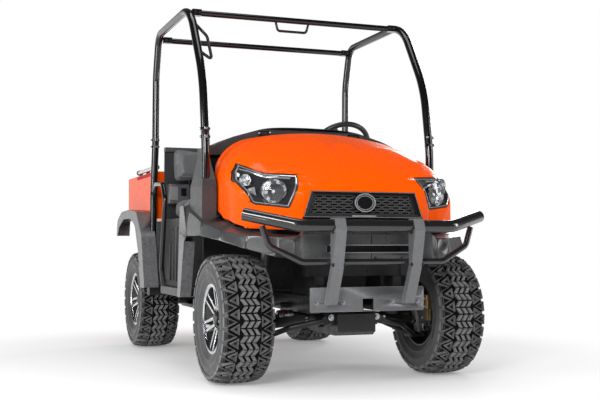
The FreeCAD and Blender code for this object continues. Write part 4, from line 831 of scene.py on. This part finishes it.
def headlamp():
    """Left headlamp: recessed housing, brow, bright strip and border, facets, two round lamps."""
    edge = spaced(rounded(LAMP_CORNERS, LAMP_RADII), 0.012)
    # distance in from the edge, depth behind the skin
    walls = ((0.0022, 0.0035), (0.0030, 0.0005), (0.0085, 0.0005), (0.0110, 0.0060), (0.0150, 0.030),
             (0.0200, 0.070))
    rows = [skin_line(inset(edge, distance), sink) for distance, sink in walls]
    floor_line = inset(edge, walls[-1][0])
    middle = sum(floor_line, Vector((0, 0))) / len(floor_line)
    for share, sink in ((1.0, 0.088), (0.7, 0.090), (0.4, 0.090), (0.1, 0.090)):
        rows.append(skin_line([middle.lerp(point, share) for point in floor_line], sink))
    made = [coated(outward(draped(rows, closed=True, capped=True)), LAMP_HOUSING, 40)]
    for lines, sinks, surface in (((STRIP_TOP, STRIP_LOW), (0.014, 0.020), SILVER),
                                  ((BROW_LINE, STRIP_TOP), (0.003, 0.014), GLOSS_BLACK)):
        strip = draped([skin_line(line, sink) for line, sink in zip(lines, sinks)])
        use(strip, "SOLIDIFY", thickness=0.004, offset=0)
        made.append(coated(soft(strip, 0.001, 1), surface))
    border = draped([skin_line(inset(edge, distance), sink)
                     for distance, sink in ((0.0088, 0.0012), (0.0125, 0.0030))], closed=True)
    made.append(coated(use(border, "SOLIDIFY", thickness=0.0016, offset=0), SILVER))
    for points, sink, surface in (
            (((0.512, 0.898), (0.482, 0.908), (0.476, 0.862), (0.462, 0.846), (0.488, 0.848)), 0.024,
             LAMP_GREY),
            (((0.470, 0.842), (0.384, 0.830), (0.372, 0.838), (0.400, 0.842), (0.452, 0.850)), 0.024,
             LAMP_GREY),
            (((0.5385, 0.968), (0.5300, 0.992), (0.5220, 0.972), (0.5270, 0.958)), 0.008, BRIGHT_PAINTED_CHROME)):
        panel = slab(skin_line(points, sink), (-0.003, 0, 0))
        made.append(coated(soft(outward(panel), 0.0006, 1), surface))
    # radius, depth, facets, place, aim
    for radius, depth, facets, place, aim in (
            (0.057, 0.042, 12, at(237, 412, 886), (0.95, 0.30, 0.03)),
            (0.029, 0.024, 8, at(118, 509, 941), (0.84, 0.53, 0.05))):
        lamp = round_lamp(radius, depth, facets)
        turned = Vector(aim).to_track_quat("Z", "Y").to_matrix().to_4x4()
        lamp.data.transform(Matrix.Translation(place) @ turned)
        made.append(lamp)
    return joined(made)


lamp_left = headlamp()
for solid, lamp in (("headlamp_left", lamp_left), ("headlamp_right", mirrored(lamp_left))):
    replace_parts(ready(solid + "_shown", lamp, None, "hood"), solid)


# ---- small pieces on the front ----
def frame_strip(outer, inner, back, front):
    """A raised border between two outlines of (y, z) millimetres."""
    rows = [[at(x, y, z) for y, z in line]
            for line, x in ((outer, back), (outer, front), (inner, front), (inner, back))]
    return outward(draped(rows, closed=True))


def finished(name, pieces, surface, body="vehicle"):
    """Joins small pieces of one surface that ride one body."""
    return ready(name, joined(pieces), surface, body)


def paired(name, pieces, surface, body="vehicle"):
    """Joins small pieces and their twins on the other side."""
    half = joined(pieces)
    return finished(name, [half, mirrored(half)], surface, body)


def hex_bolt(place, direction, size=0.008, tall=0.006):
    """A washer with a hexagon head on it."""
    place, direction = Vector(place), Vector(direction).normalized()
    seat = place + direction * 0.002
    washer = bar(place, seat, size * 1.5, 20)
    head = bar(seat, seat + direction * tall, size, 6, size * 0.92)
    return joined([soft(washer, 0.0004, 1), soft(head, 0.0007, 1)])


def grille_cells():
    """Raised borders round the long hexagons of seven rows, each row half a pitch along."""
    rows, row_height, pitch, gap, half_height = 7, 12, 48, 3, 4.25
    border_across, border_up = 1.6, 1.1
    made = []
    for row in range(rows):
        low_z, reach, shift = 787 + row * row_height, 262 - row * 4.4, (row % 2) * pitch / 2
        for i in range(-7, 7):
            low, high = max(i * pitch + shift + gap, -reach), min((i + 1) * pitch + shift - gap, reach)
            if high - low < 12:
                continue
            cut, middle, top_z = min(7, (high - low) / 3), (low + high) / 2, low_z + 2 * half_height
            middle_z = low_z + half_height
            hexagon = [(low + cut, low_z), (high - cut, low_z), (high, middle_z), (high - cut, top_z),
                       (low + cut, top_z), (low, middle_z)]
            wide = [(y + math.copysign(border_across, y - middle),
                     z + border_up * ((z > middle_z) - (z < middle_z))) for y, z in hexagon]
            made.append(frame_strip(wide, hexagon, 299.8, 302.2))
    return made


def oval(across, up):
    return [(across * math.cos(math.pi * i / 32), 836 + up * math.sin(math.pi * i / 32)) for i in range(64)]


def plate(x, corners, thickness, width=None, segments=1):
    """A flat plate that faces forward, from (y, z) millimetres."""
    piece = slab([at(x, y, z) for y, z in corners], (thickness, 0, 0))
    return piece if width is None else soft(piece, width, segments)


finished("grille_cells", grille_cells(), MESH_GREY, "hood")
# A near-black plate behind the cells: painted shade seen through them.
finished("grille_shade_backing", [plate(284, ((-284, 772), (284, 772), (250, 884), (-250, 884)), 0.003)],
         BLACK_AND_PAINTED_SHADE, "hood")
# A thin silver strip round the grille's frame: painted highlight along its edge.
edge = spaced(rounded([(-300, 767), (300, 767), (261, 888), (-261, 888)], [10] * 4), 16)
finished("grille_edge_highlight", [frame_strip(inset(edge, 2.0), inset(edge, 3.8), 315.8, 317.2)], SILVER,
         "hood")
finished("badge_rings", [frame_strip(oval(52, 43), oval(46.5, 37.8), 325.8, 331),
                         frame_strip(oval(41.5, 33), oval(38.5, 30), 325.8, 328.5)], SILVER, "hood")
finished("grille_latch_bar", [plate(318, ((-60, 771), (60, 771), (60, 779), (-60, 779)), 0.002, 0.0008)],
         SILVER, "hood")
finished("guard_plate_bolts", [hex_bolt(at(358, y, 384), FORWARD, 0.0075) for y in (-250, -122, 122, 250)],
         DARK_CHROME)
finished("subframe_bolts", [hex_bolt(at(200, y, 306), FORWARD, 0.010, 0.008) for y in (-116, 116)], STEEL)


# ---- seats ----
PAD_SHRINK = 0.012      # how far the block starts inside its pad's box
PAD_VOXEL = 0.006
PAD_PRESSURE = 4.0
PAD_TRAVEL = 0.024      # most that a point may move
PAD_FRAMES = 20
PAD_MARGIN = 0.0005
WELT_RADIUS, WELT_CORNER, WELT_STEP, WELT_SIDES = 0.0034, 0.030, 0.014, 8
WELT_INSET = 0.034
REST_WIDTH, REST_HEIGHT, REST_HALF_DEPTH, REST_LEAN = 0.52, 0.212, 0.045, -9


def stuffed(low, high, radius):
    """A pad swollen as cloth from a slightly smaller rounded block, kept inside its box."""
    low, high = Vector(low), Vector(high)
    pull = Vector((PAD_SHRINK,) * 3)
    piece = soft(block(low + pull, high - pull), radius, 5)
    use(piece, "REMESH", mode="VOXEL", voxel_size=PAD_VOXEL)
    start = [vertex.co.copy() for vertex in piece.data.vertices]
    only(piece)
    bpy.ops.object.modifier_add(type="CLOTH")
    cloth = piece.modifiers[-1]
    cloth.settings.quality = 4
    cloth.settings.mass = 0.3
    cloth.settings.use_pressure = True
    cloth.settings.uniform_pressure_force = PAD_PRESSURE
    cloth.settings.effector_weights.gravity = 0.0
    for step in range(PAD_FRAMES):
        bpy.context.scene.frame_set(step + 1)
    bpy.ops.object.modifier_apply(modifier=cloth.name)
    bpy.context.scene.frame_set(1)
    for vertex, before in zip(piece.data.vertices, start):
        moved = vertex.co - before
        if moved.length > PAD_TRAVEL:
            vertex.co = before + moved * (PAD_TRAVEL / moved.length)
    for vertex in piece.data.vertices:
        for i in range(3):
            vertex.co[i] = min(max(vertex.co[i], low[i] + PAD_MARGIN), high[i] - PAD_MARGIN)
    return smooth(use(piece, "SUBSURF", levels=1, render_levels=1), 80)


def welt(piece, corners, direction):
    """Piping sewn on a pad: a round strip that follows its skin along a rounded outline."""
    direction = Vector(direction)
    across = direction.orthogonal().normalized()
    beside = direction.cross(across)
    flat = [(Vector(corner).dot(across), Vector(corner).dot(beside)) for corner in corners]
    line = []
    for u, v in spaced(rounded(flat, [WELT_CORNER] * len(flat)), WELT_STEP):
        found, place = piece.ray_cast(across * u + beside * v + direction * 3.0, -direction)[:2]
        if found:
            line.append(place - direction * WELT_RADIUS * 0.2)
    circles = []
    for i, place in enumerate(line):
        along = (line[(i + 1) % len(line)] - line[i - 1]).normalized()
        side = along.cross(direction).normalized() * WELT_RADIUS
        up = side.cross(along)
        turns = [2 * math.pi * k / WELT_SIDES for k in range(WELT_SIDES)]
        circles.append([place + side * math.cos(turn) + up * math.sin(turn) for turn in turns])
    return smooth(outward(draped(circles + [circles[0]], closed=True)), 60)


low, high = at(-1210, 12.5, 793), at(-844, 547.5, 900)
cushion = stuffed(low, high, 0.026)
back, front, inner, outer = low.x + WELT_INSET, high.x - WELT_INSET, low.y + WELT_INSET, high.y - WELT_INSET
cushion_line = ((back, inner, 0), (front, inner, 0), (front, outer, 0), (back, outer, 0))
cushion_welt = welt(cushion, cushion_line, UPWARD)
rest = stuffed((-REST_HALF_DEPTH, 0, 0), (REST_HALF_DEPTH, REST_WIDTH, REST_HEIGHT), 0.028)
inner, outer, bottom, top = WELT_INSET, REST_WIDTH - WELT_INSET, WELT_INSET, REST_HEIGHT - WELT_INSET
rest_line = ((0, inner, bottom), (0, outer, bottom), (0, outer, top), (0, inner, top))
rest_welt = welt(rest, rest_line, FORWARD)
lean = Matrix.Translation(at(-1208, 22, 1004)) @ Matrix.Rotation(math.radians(REST_LEAN), 4, "Y")
for piece in (rest, rest_welt):
    piece.data.transform(lean)
for label, pad, cord in (("seat_cushion", cushion, cushion_welt), ("backrest", rest, rest_welt)):
    for side, piece in (("_left", pad), ("_right", mirrored(pad))):
        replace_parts(ready(label + side, piece, VINYL), label + "s")
    paired(label + "_welts", [cord], PIPING)


# ---- cab, bed and running gear ----
def moulding(points, offset, width):
    """A moulded plate through places in millimetres, with rounded edges."""
    return soft(slab([at(*point) for point in points], offset), width, 3)


def brick(low, high, width, segments):
    """A block between two places in millimetres, with rounded edges."""
    return soft(block(at(*low), at(*high)), width, segments)


# name, corners, offset, edge width, surface, slot
PANELS = (
    ("seat_latch_boxes", ((-1320, -556, 882), (-1228, -556, 882), (-1232, -556, 1000), (-1320, -556, 1000)),
     (0, 0.130, 0), 0.012, PLASTIC, "dark_plastic"),
    ("seat_latch_recesses",
     ((-1229, -548, 905), (-1229, -500, 905), (-1231.5, -500, 985), (-1231.5, -548, 985)),
     (0.003, 0, 0), 0.001, PALE_PLASTIC, "dark_plastic"),
    ("seat_latch_hooks", ((-1229, -482, 930), (-1229, -452, 930), (-1231, -452, 975), (-1231, -482, 975)),
     (0.006, 0, 0), 0.001, BLACK_AND_PAINTED_SHADE, "black_satin"),
)
for name, corners, offset, width, surface, slot in PANELS:
    paired(name, [moulding(corners, offset, width)], surface)
folds = []
for back, front, top in ((-1280, -1150, 660), (-1095, -1070, 735), (-1030, -1000, 745), (-960, -925, 735)):
    corners = [(back, -560, 440), (front, -560, 440), (front + 8, -560, top), (back - 4, -560, top)]
    folds.append(moulding(corners, (0, -0.009, 0), 0.004))
paired("seat_base_folds", folds, CAB_PLASTIC)

hood_line = ((-490, 1152), (490, 1152), (480, 1168), (420, 1191), (240, 1245), (0, 1263), (-240, 1245),
             (-420, 1191), (-480, 1168))
pod_profile = ((0.2, -634), (46, -634), (50, -652), (44, -650), (42, -642), (0.2, -642))
pod = spun([at(x, 330 + r, 1180) for r, x in pod_profile], at(-640, 330, 1180), FORWARD, 40)
finished("dash_upper", [plate(-632, hood_line, 0.004, 0.001), smooth(pod, 40)], CAB_PLASTIC)

posts = [brick((x - 12, -596, 1085), (x + 12, -574, 1100), 0.002, 1) for x in (-1900, -1680, -1450)]
for back, front in ((-1962, -1944), (-1438, -1424)):
    posts.append(soft(bar(at(back, -585, 1110), at(front, -585, 1110), 0.017), 0.002))
paired("bed_rail_posts", posts, SATIN_BLACK, "bed")
rail = soft(bar(at(-1950, -585, 1110), at(-1430, -585, 1110), 0.0135), 0.001, 1)
paired("bed_rails", [rail], SILVER, "bed")
# A dark red strip under each rail: painted shade on the orange bed side below the rail.
rail_shade_strip = brick((-1940, -602.5, 1062), (-1440, -600, 1082), 0.0008, 1)
paired("bed_rail_shade_strips", [rail_shade_strip], RAIL_SHADE_RED, "bed")

couplings = []
post_side, coupling_radius = -612, 24.3
for x, z, lean_x in ((-206, 1190, -0.12), (-1340.5, 1244, 0.02)):
    for rise in (-19.5, 20.5):
        place = at(x + lean_x * rise, post_side, z + rise)
        for direction in (Vector((0, -1, 0)), Vector(FORWARD)):
            couplings.append(hex_bolt(place + direction * coupling_radius / 1000, direction, 0.0045, 0.004))
paired("roll_frame_bolts", couplings, STEEL)
clamp_bolts = [hex_bolt(at(x + 17, y, z), FORWARD, 0.006, 0.005)
               for x, z in ((-566, 1863), (-1240, 1845)) for y in (-552, -576)]
paired("roll_frame_clamp_bolts", clamp_bolts, SATIN_BLACK)

sleeve = soft(bar(at(0, -312, 302), at(0, -236, 303), 0.031, 32), 0.003)
paired("half_shaft_sleeves", [sleeve], STEEL)
for side, sign in (("left", 1), ("right", -1)):
    knuckle = "knuckle_" + side
    profile = [at(0, sign * y, 300 + r) for y, r in ((462, 40), (462, 86), (468, 86), (468, 40))]
    disc = smooth(spun(profile, at(0, sign * 465, 300), LEFTWARD, 64), 30)
    finished("brake_disc_" + side, [disc], STEEL, knuckle)
    caliper = brick((34, sign * 462 - 20, 322), (82, sign * 462 + 20, 398), 0.006, 3)
    ear = brick((30, sign * 456 - 6, 268), (64, sign * 456 + 6, 322), 0.004, 2)
    finished("brake_caliper_" + side, [caliper, ear], BRONZE, knuckle)
    nuts = [hex_bolt(at(x, sign * y, z), (0, -sign, 0))
            for x, y, z in ((60, 442, 340), (60, 442, 380), (46, 436, 284), (-10, 436, 250))]
    finished("knuckle_nuts_" + side, nuts, STEEL, knuckle)

arms, arm_bolts = [], []
for x in (88, -88):
    start, end = at(x, 182, 296), at(x * 0.42, 392, 266)
    arms.append(soft(bar(start, end, 0.023, 4), 0.003))
    for share in (0.08, 0.92):
        arm_bolts.append(hex_bolt(start.lerp(end, share) + Vector((0.016, 0, 0)), FORWARD, 0.007, 0.005))
paired("lower_arm_boxes", arms, SATIN_BLACK)
paired("lower_arm_bolts", arm_bolts, STEEL)

# A thin near-black tube along the hood's lower edge: painted shadow in the gap between hood and fender.
edge_line = ((-252, 553.8, 829), (-110, 560.6, 787), (60, 552.6, 745), (150, 533, 727), (186, 516, 721))
hood_edge_shadow = tube([at(*point) for point in edge_line], 0.003, 0.03, 8)
paired("hood_edge_shadow_line", [hood_edge_shadow], BLACK_AND_PAINTED_SHADE, "hood")
seams = [brick((395, -1.6, low), (397.2, 1.6, high), 0.0003, 1) for low, high in ((562, 610), (643, 686))]
finished("fascia_seam", seams, BLACK_AND_PAINTED_SHADE)
screws = [hex_bolt(at(396, y, 585), FORWARD, 0.004, 0.002) for y in (-150, 18, 150)]
finished("fascia_screws", screws, SMOOTH_PLASTIC)
# Pale raised strips along the fascia's ledges: real ledges, their paleness a painted highlight.
highlight_lips = [brick((395, -206, z), (399, 206, z + 5), 0.0015, 2) for z in (606, 640)]
finished("fascia_lip_highlights", highlight_lips, PALE_PLASTIC)
bar_bolts = [hex_bolt(at(470, y + side * 25, height), (0, side, 0), 0.006, tall)
             for y in (-191, 191) for height, tall in ((556, 0.006), (700, 0.004)) for side in (-1, 1)]
finished("guard_bar_bolts", bar_bolts, SATIN_BLACK)


# ---- studio ----
WHITE = (1, 1, 1, 1)
SHADOW_REACH, WHITE_REACH = 1.55, 2.45      # metres from the middle where the floor fades to white
FLOOR_GREY, FLOOR_LIFT = (0.80, 0.80, 0.80), 0.20
SIDE_GLOSS, TOP_GLOSS = 0.06, 0.07          # how bright gloss sees the studio, beside and overhead
FILL = 0.52                                 # light from all round on matt surfaces


def studio_surface(name, colour, lift):
    """A pale surface that keeps shadows near the object and fades to white away from it."""
    made = bpy.data.materials.new(name)
    made.use_nodes = True
    tree = made.node_tree
    tree.nodes.remove(tree.nodes["Principled BSDF"])
    matt = node(tree, "BsdfDiffuse", {"Color": (*colour, 1)}).outputs[0]
    glow = node(tree, "Emission", {"Color": WHITE, "Strength": lift}).outputs[0]
    white = node(tree, "Emission", {"Color": WHITE, "Strength": 1.0}).outputs[0]
    ray = node(tree, "LightPath").outputs
    seen = worked_out(tree, "MAXIMUM", ray["Is Camera Ray"], ray["Is Glossy Ray"])
    seen = worked_out(tree, "MAXIMUM", seen, ray["Is Transmission Ray"])
    place = node(tree, "TexCoord").outputs["Object"]
    away = node(tree, "VectorMath", {0: place}, operation="LENGTH").outputs["Value"]
    far = ranged(tree, away, SHADOW_REACH, WHITE_REACH, interpolation_type="SMOOTHSTEP")
    near = node(tree, "AddShader", {0: matt, 1: glow}).outputs[0]
    shown_floor = node(tree, "MixShader", {0: far, 1: near, 2: white}).outputs[0]
    mixed = node(tree, "MixShader", {0: seen, 1: matt, 2: shown_floor}).outputs[0]
    tree.links.new(mixed, tree.nodes["Material Output"].inputs["Surface"])
    return made


only()
bpy.ops.mesh.primitive_plane_add(size=60, location=ORIGIN)
floor = coated(bpy.context.object, studio_surface("studio_floor", FLOOR_GREY, FLOOR_LIFT))
floor.name = "studio_floor"

# Gloss meets the white backdrop behind the vehicle and a darker studio elsewhere.
world = bpy.data.worlds.new("studio")
bpy.context.scene.world = world
world.use_nodes = True
tree = world.node_tree
back = tree.nodes["Background"]
back.inputs["Color"].default_value = WHITE
ray = node(tree, "LightPath").outputs
sky = node(tree, "TexCoord").outputs["Generated"]
facing = node(tree, "VectorMath", {0: sky, 1: (-0.93, 0.35, 0.0)}, operation="DOT_PRODUCT").outputs["Value"]
backdrop = ranged(tree, facing, 0.15, 0.9, SIDE_GLOSS, 1.0, interpolation_type="SMOOTHSTEP")
height = node(tree, "SeparateXYZ", {"Vector": sky}).outputs["Z"]
lowered = ranged(tree, height, 0.05, 0.45, 1.0, TOP_GLOSS, interpolation_type="SMOOTHSTEP")
gloss = worked_out(tree, "MULTIPLY", worked_out(tree, "MULTIPLY", backdrop, lowered), ray["Is Glossy Ray"])
seen = worked_out(tree, "MAXIMUM", ray["Is Camera Ray"], ray["Is Transmission Ray"])
matt = worked_out(tree, "MULTIPLY", ray["Is Diffuse Ray"], FILL)
level = worked_out(tree, "MAXIMUM", worked_out(tree, "MAXIMUM", seen, gloss), matt)
tree.links.new(level, back.inputs["Strength"])


def looking(name, data, place, direction):
    """A lamp or camera in the scene, at a place and along a direction."""
    made = bpy.data.objects.new(name, data)
    bpy.context.scene.collection.objects.link(made)
    made.location = place
    made.rotation_euler = direction.to_track_quat("-Z", "Y").to_euler()
    return made


LAMPS = (
    # name, place, aim, size across, size up, power
    ("key", (4.4, -2.7, 2.2), (0.6, 0.0, 0.7), 1.5, 1.3, 115),
    ("left_strip", (1.4, -4.6, 1.3), (0.3, 0.0, 0.8), 0.7, 2.4, 85),
    ("right_strip", (3.0, 4.2, 1.7), (0.4, 0.0, 0.8), 0.6, 2.6, 60),
    ("rim", (-3.2, 3.4, 2.6), (0.0, 0.0, 0.9), 1.4, 1.6, 45),
    ("top", (0.4, -0.4, 4.6), (0.2, 0.0, 0.5), 2.6, 1.6, 36),
)
for name, place, aim, across, up, power in LAMPS:
    light = bpy.data.lights.new(name, "AREA")
    light.shape = "RECTANGLE"
    light.size, light.size_y, light.energy = across, up, power
    looking(name, light, place, Vector(aim) - Vector(place))

camera = bpy.data.cameras.new("camera")
camera.sensor_width = 36.0
camera.lens = 59.64
CAMERA_PLACE, CAMERA_GAZE = (5.3545, -1.873, 0.647), (-0.9357, 0.3501, 0.0443)
scene = bpy.context.scene
scene.camera = looking("camera", camera, CAMERA_PLACE, Vector(CAMERA_GAZE))
scene.view_settings.view_transform = "Standard"
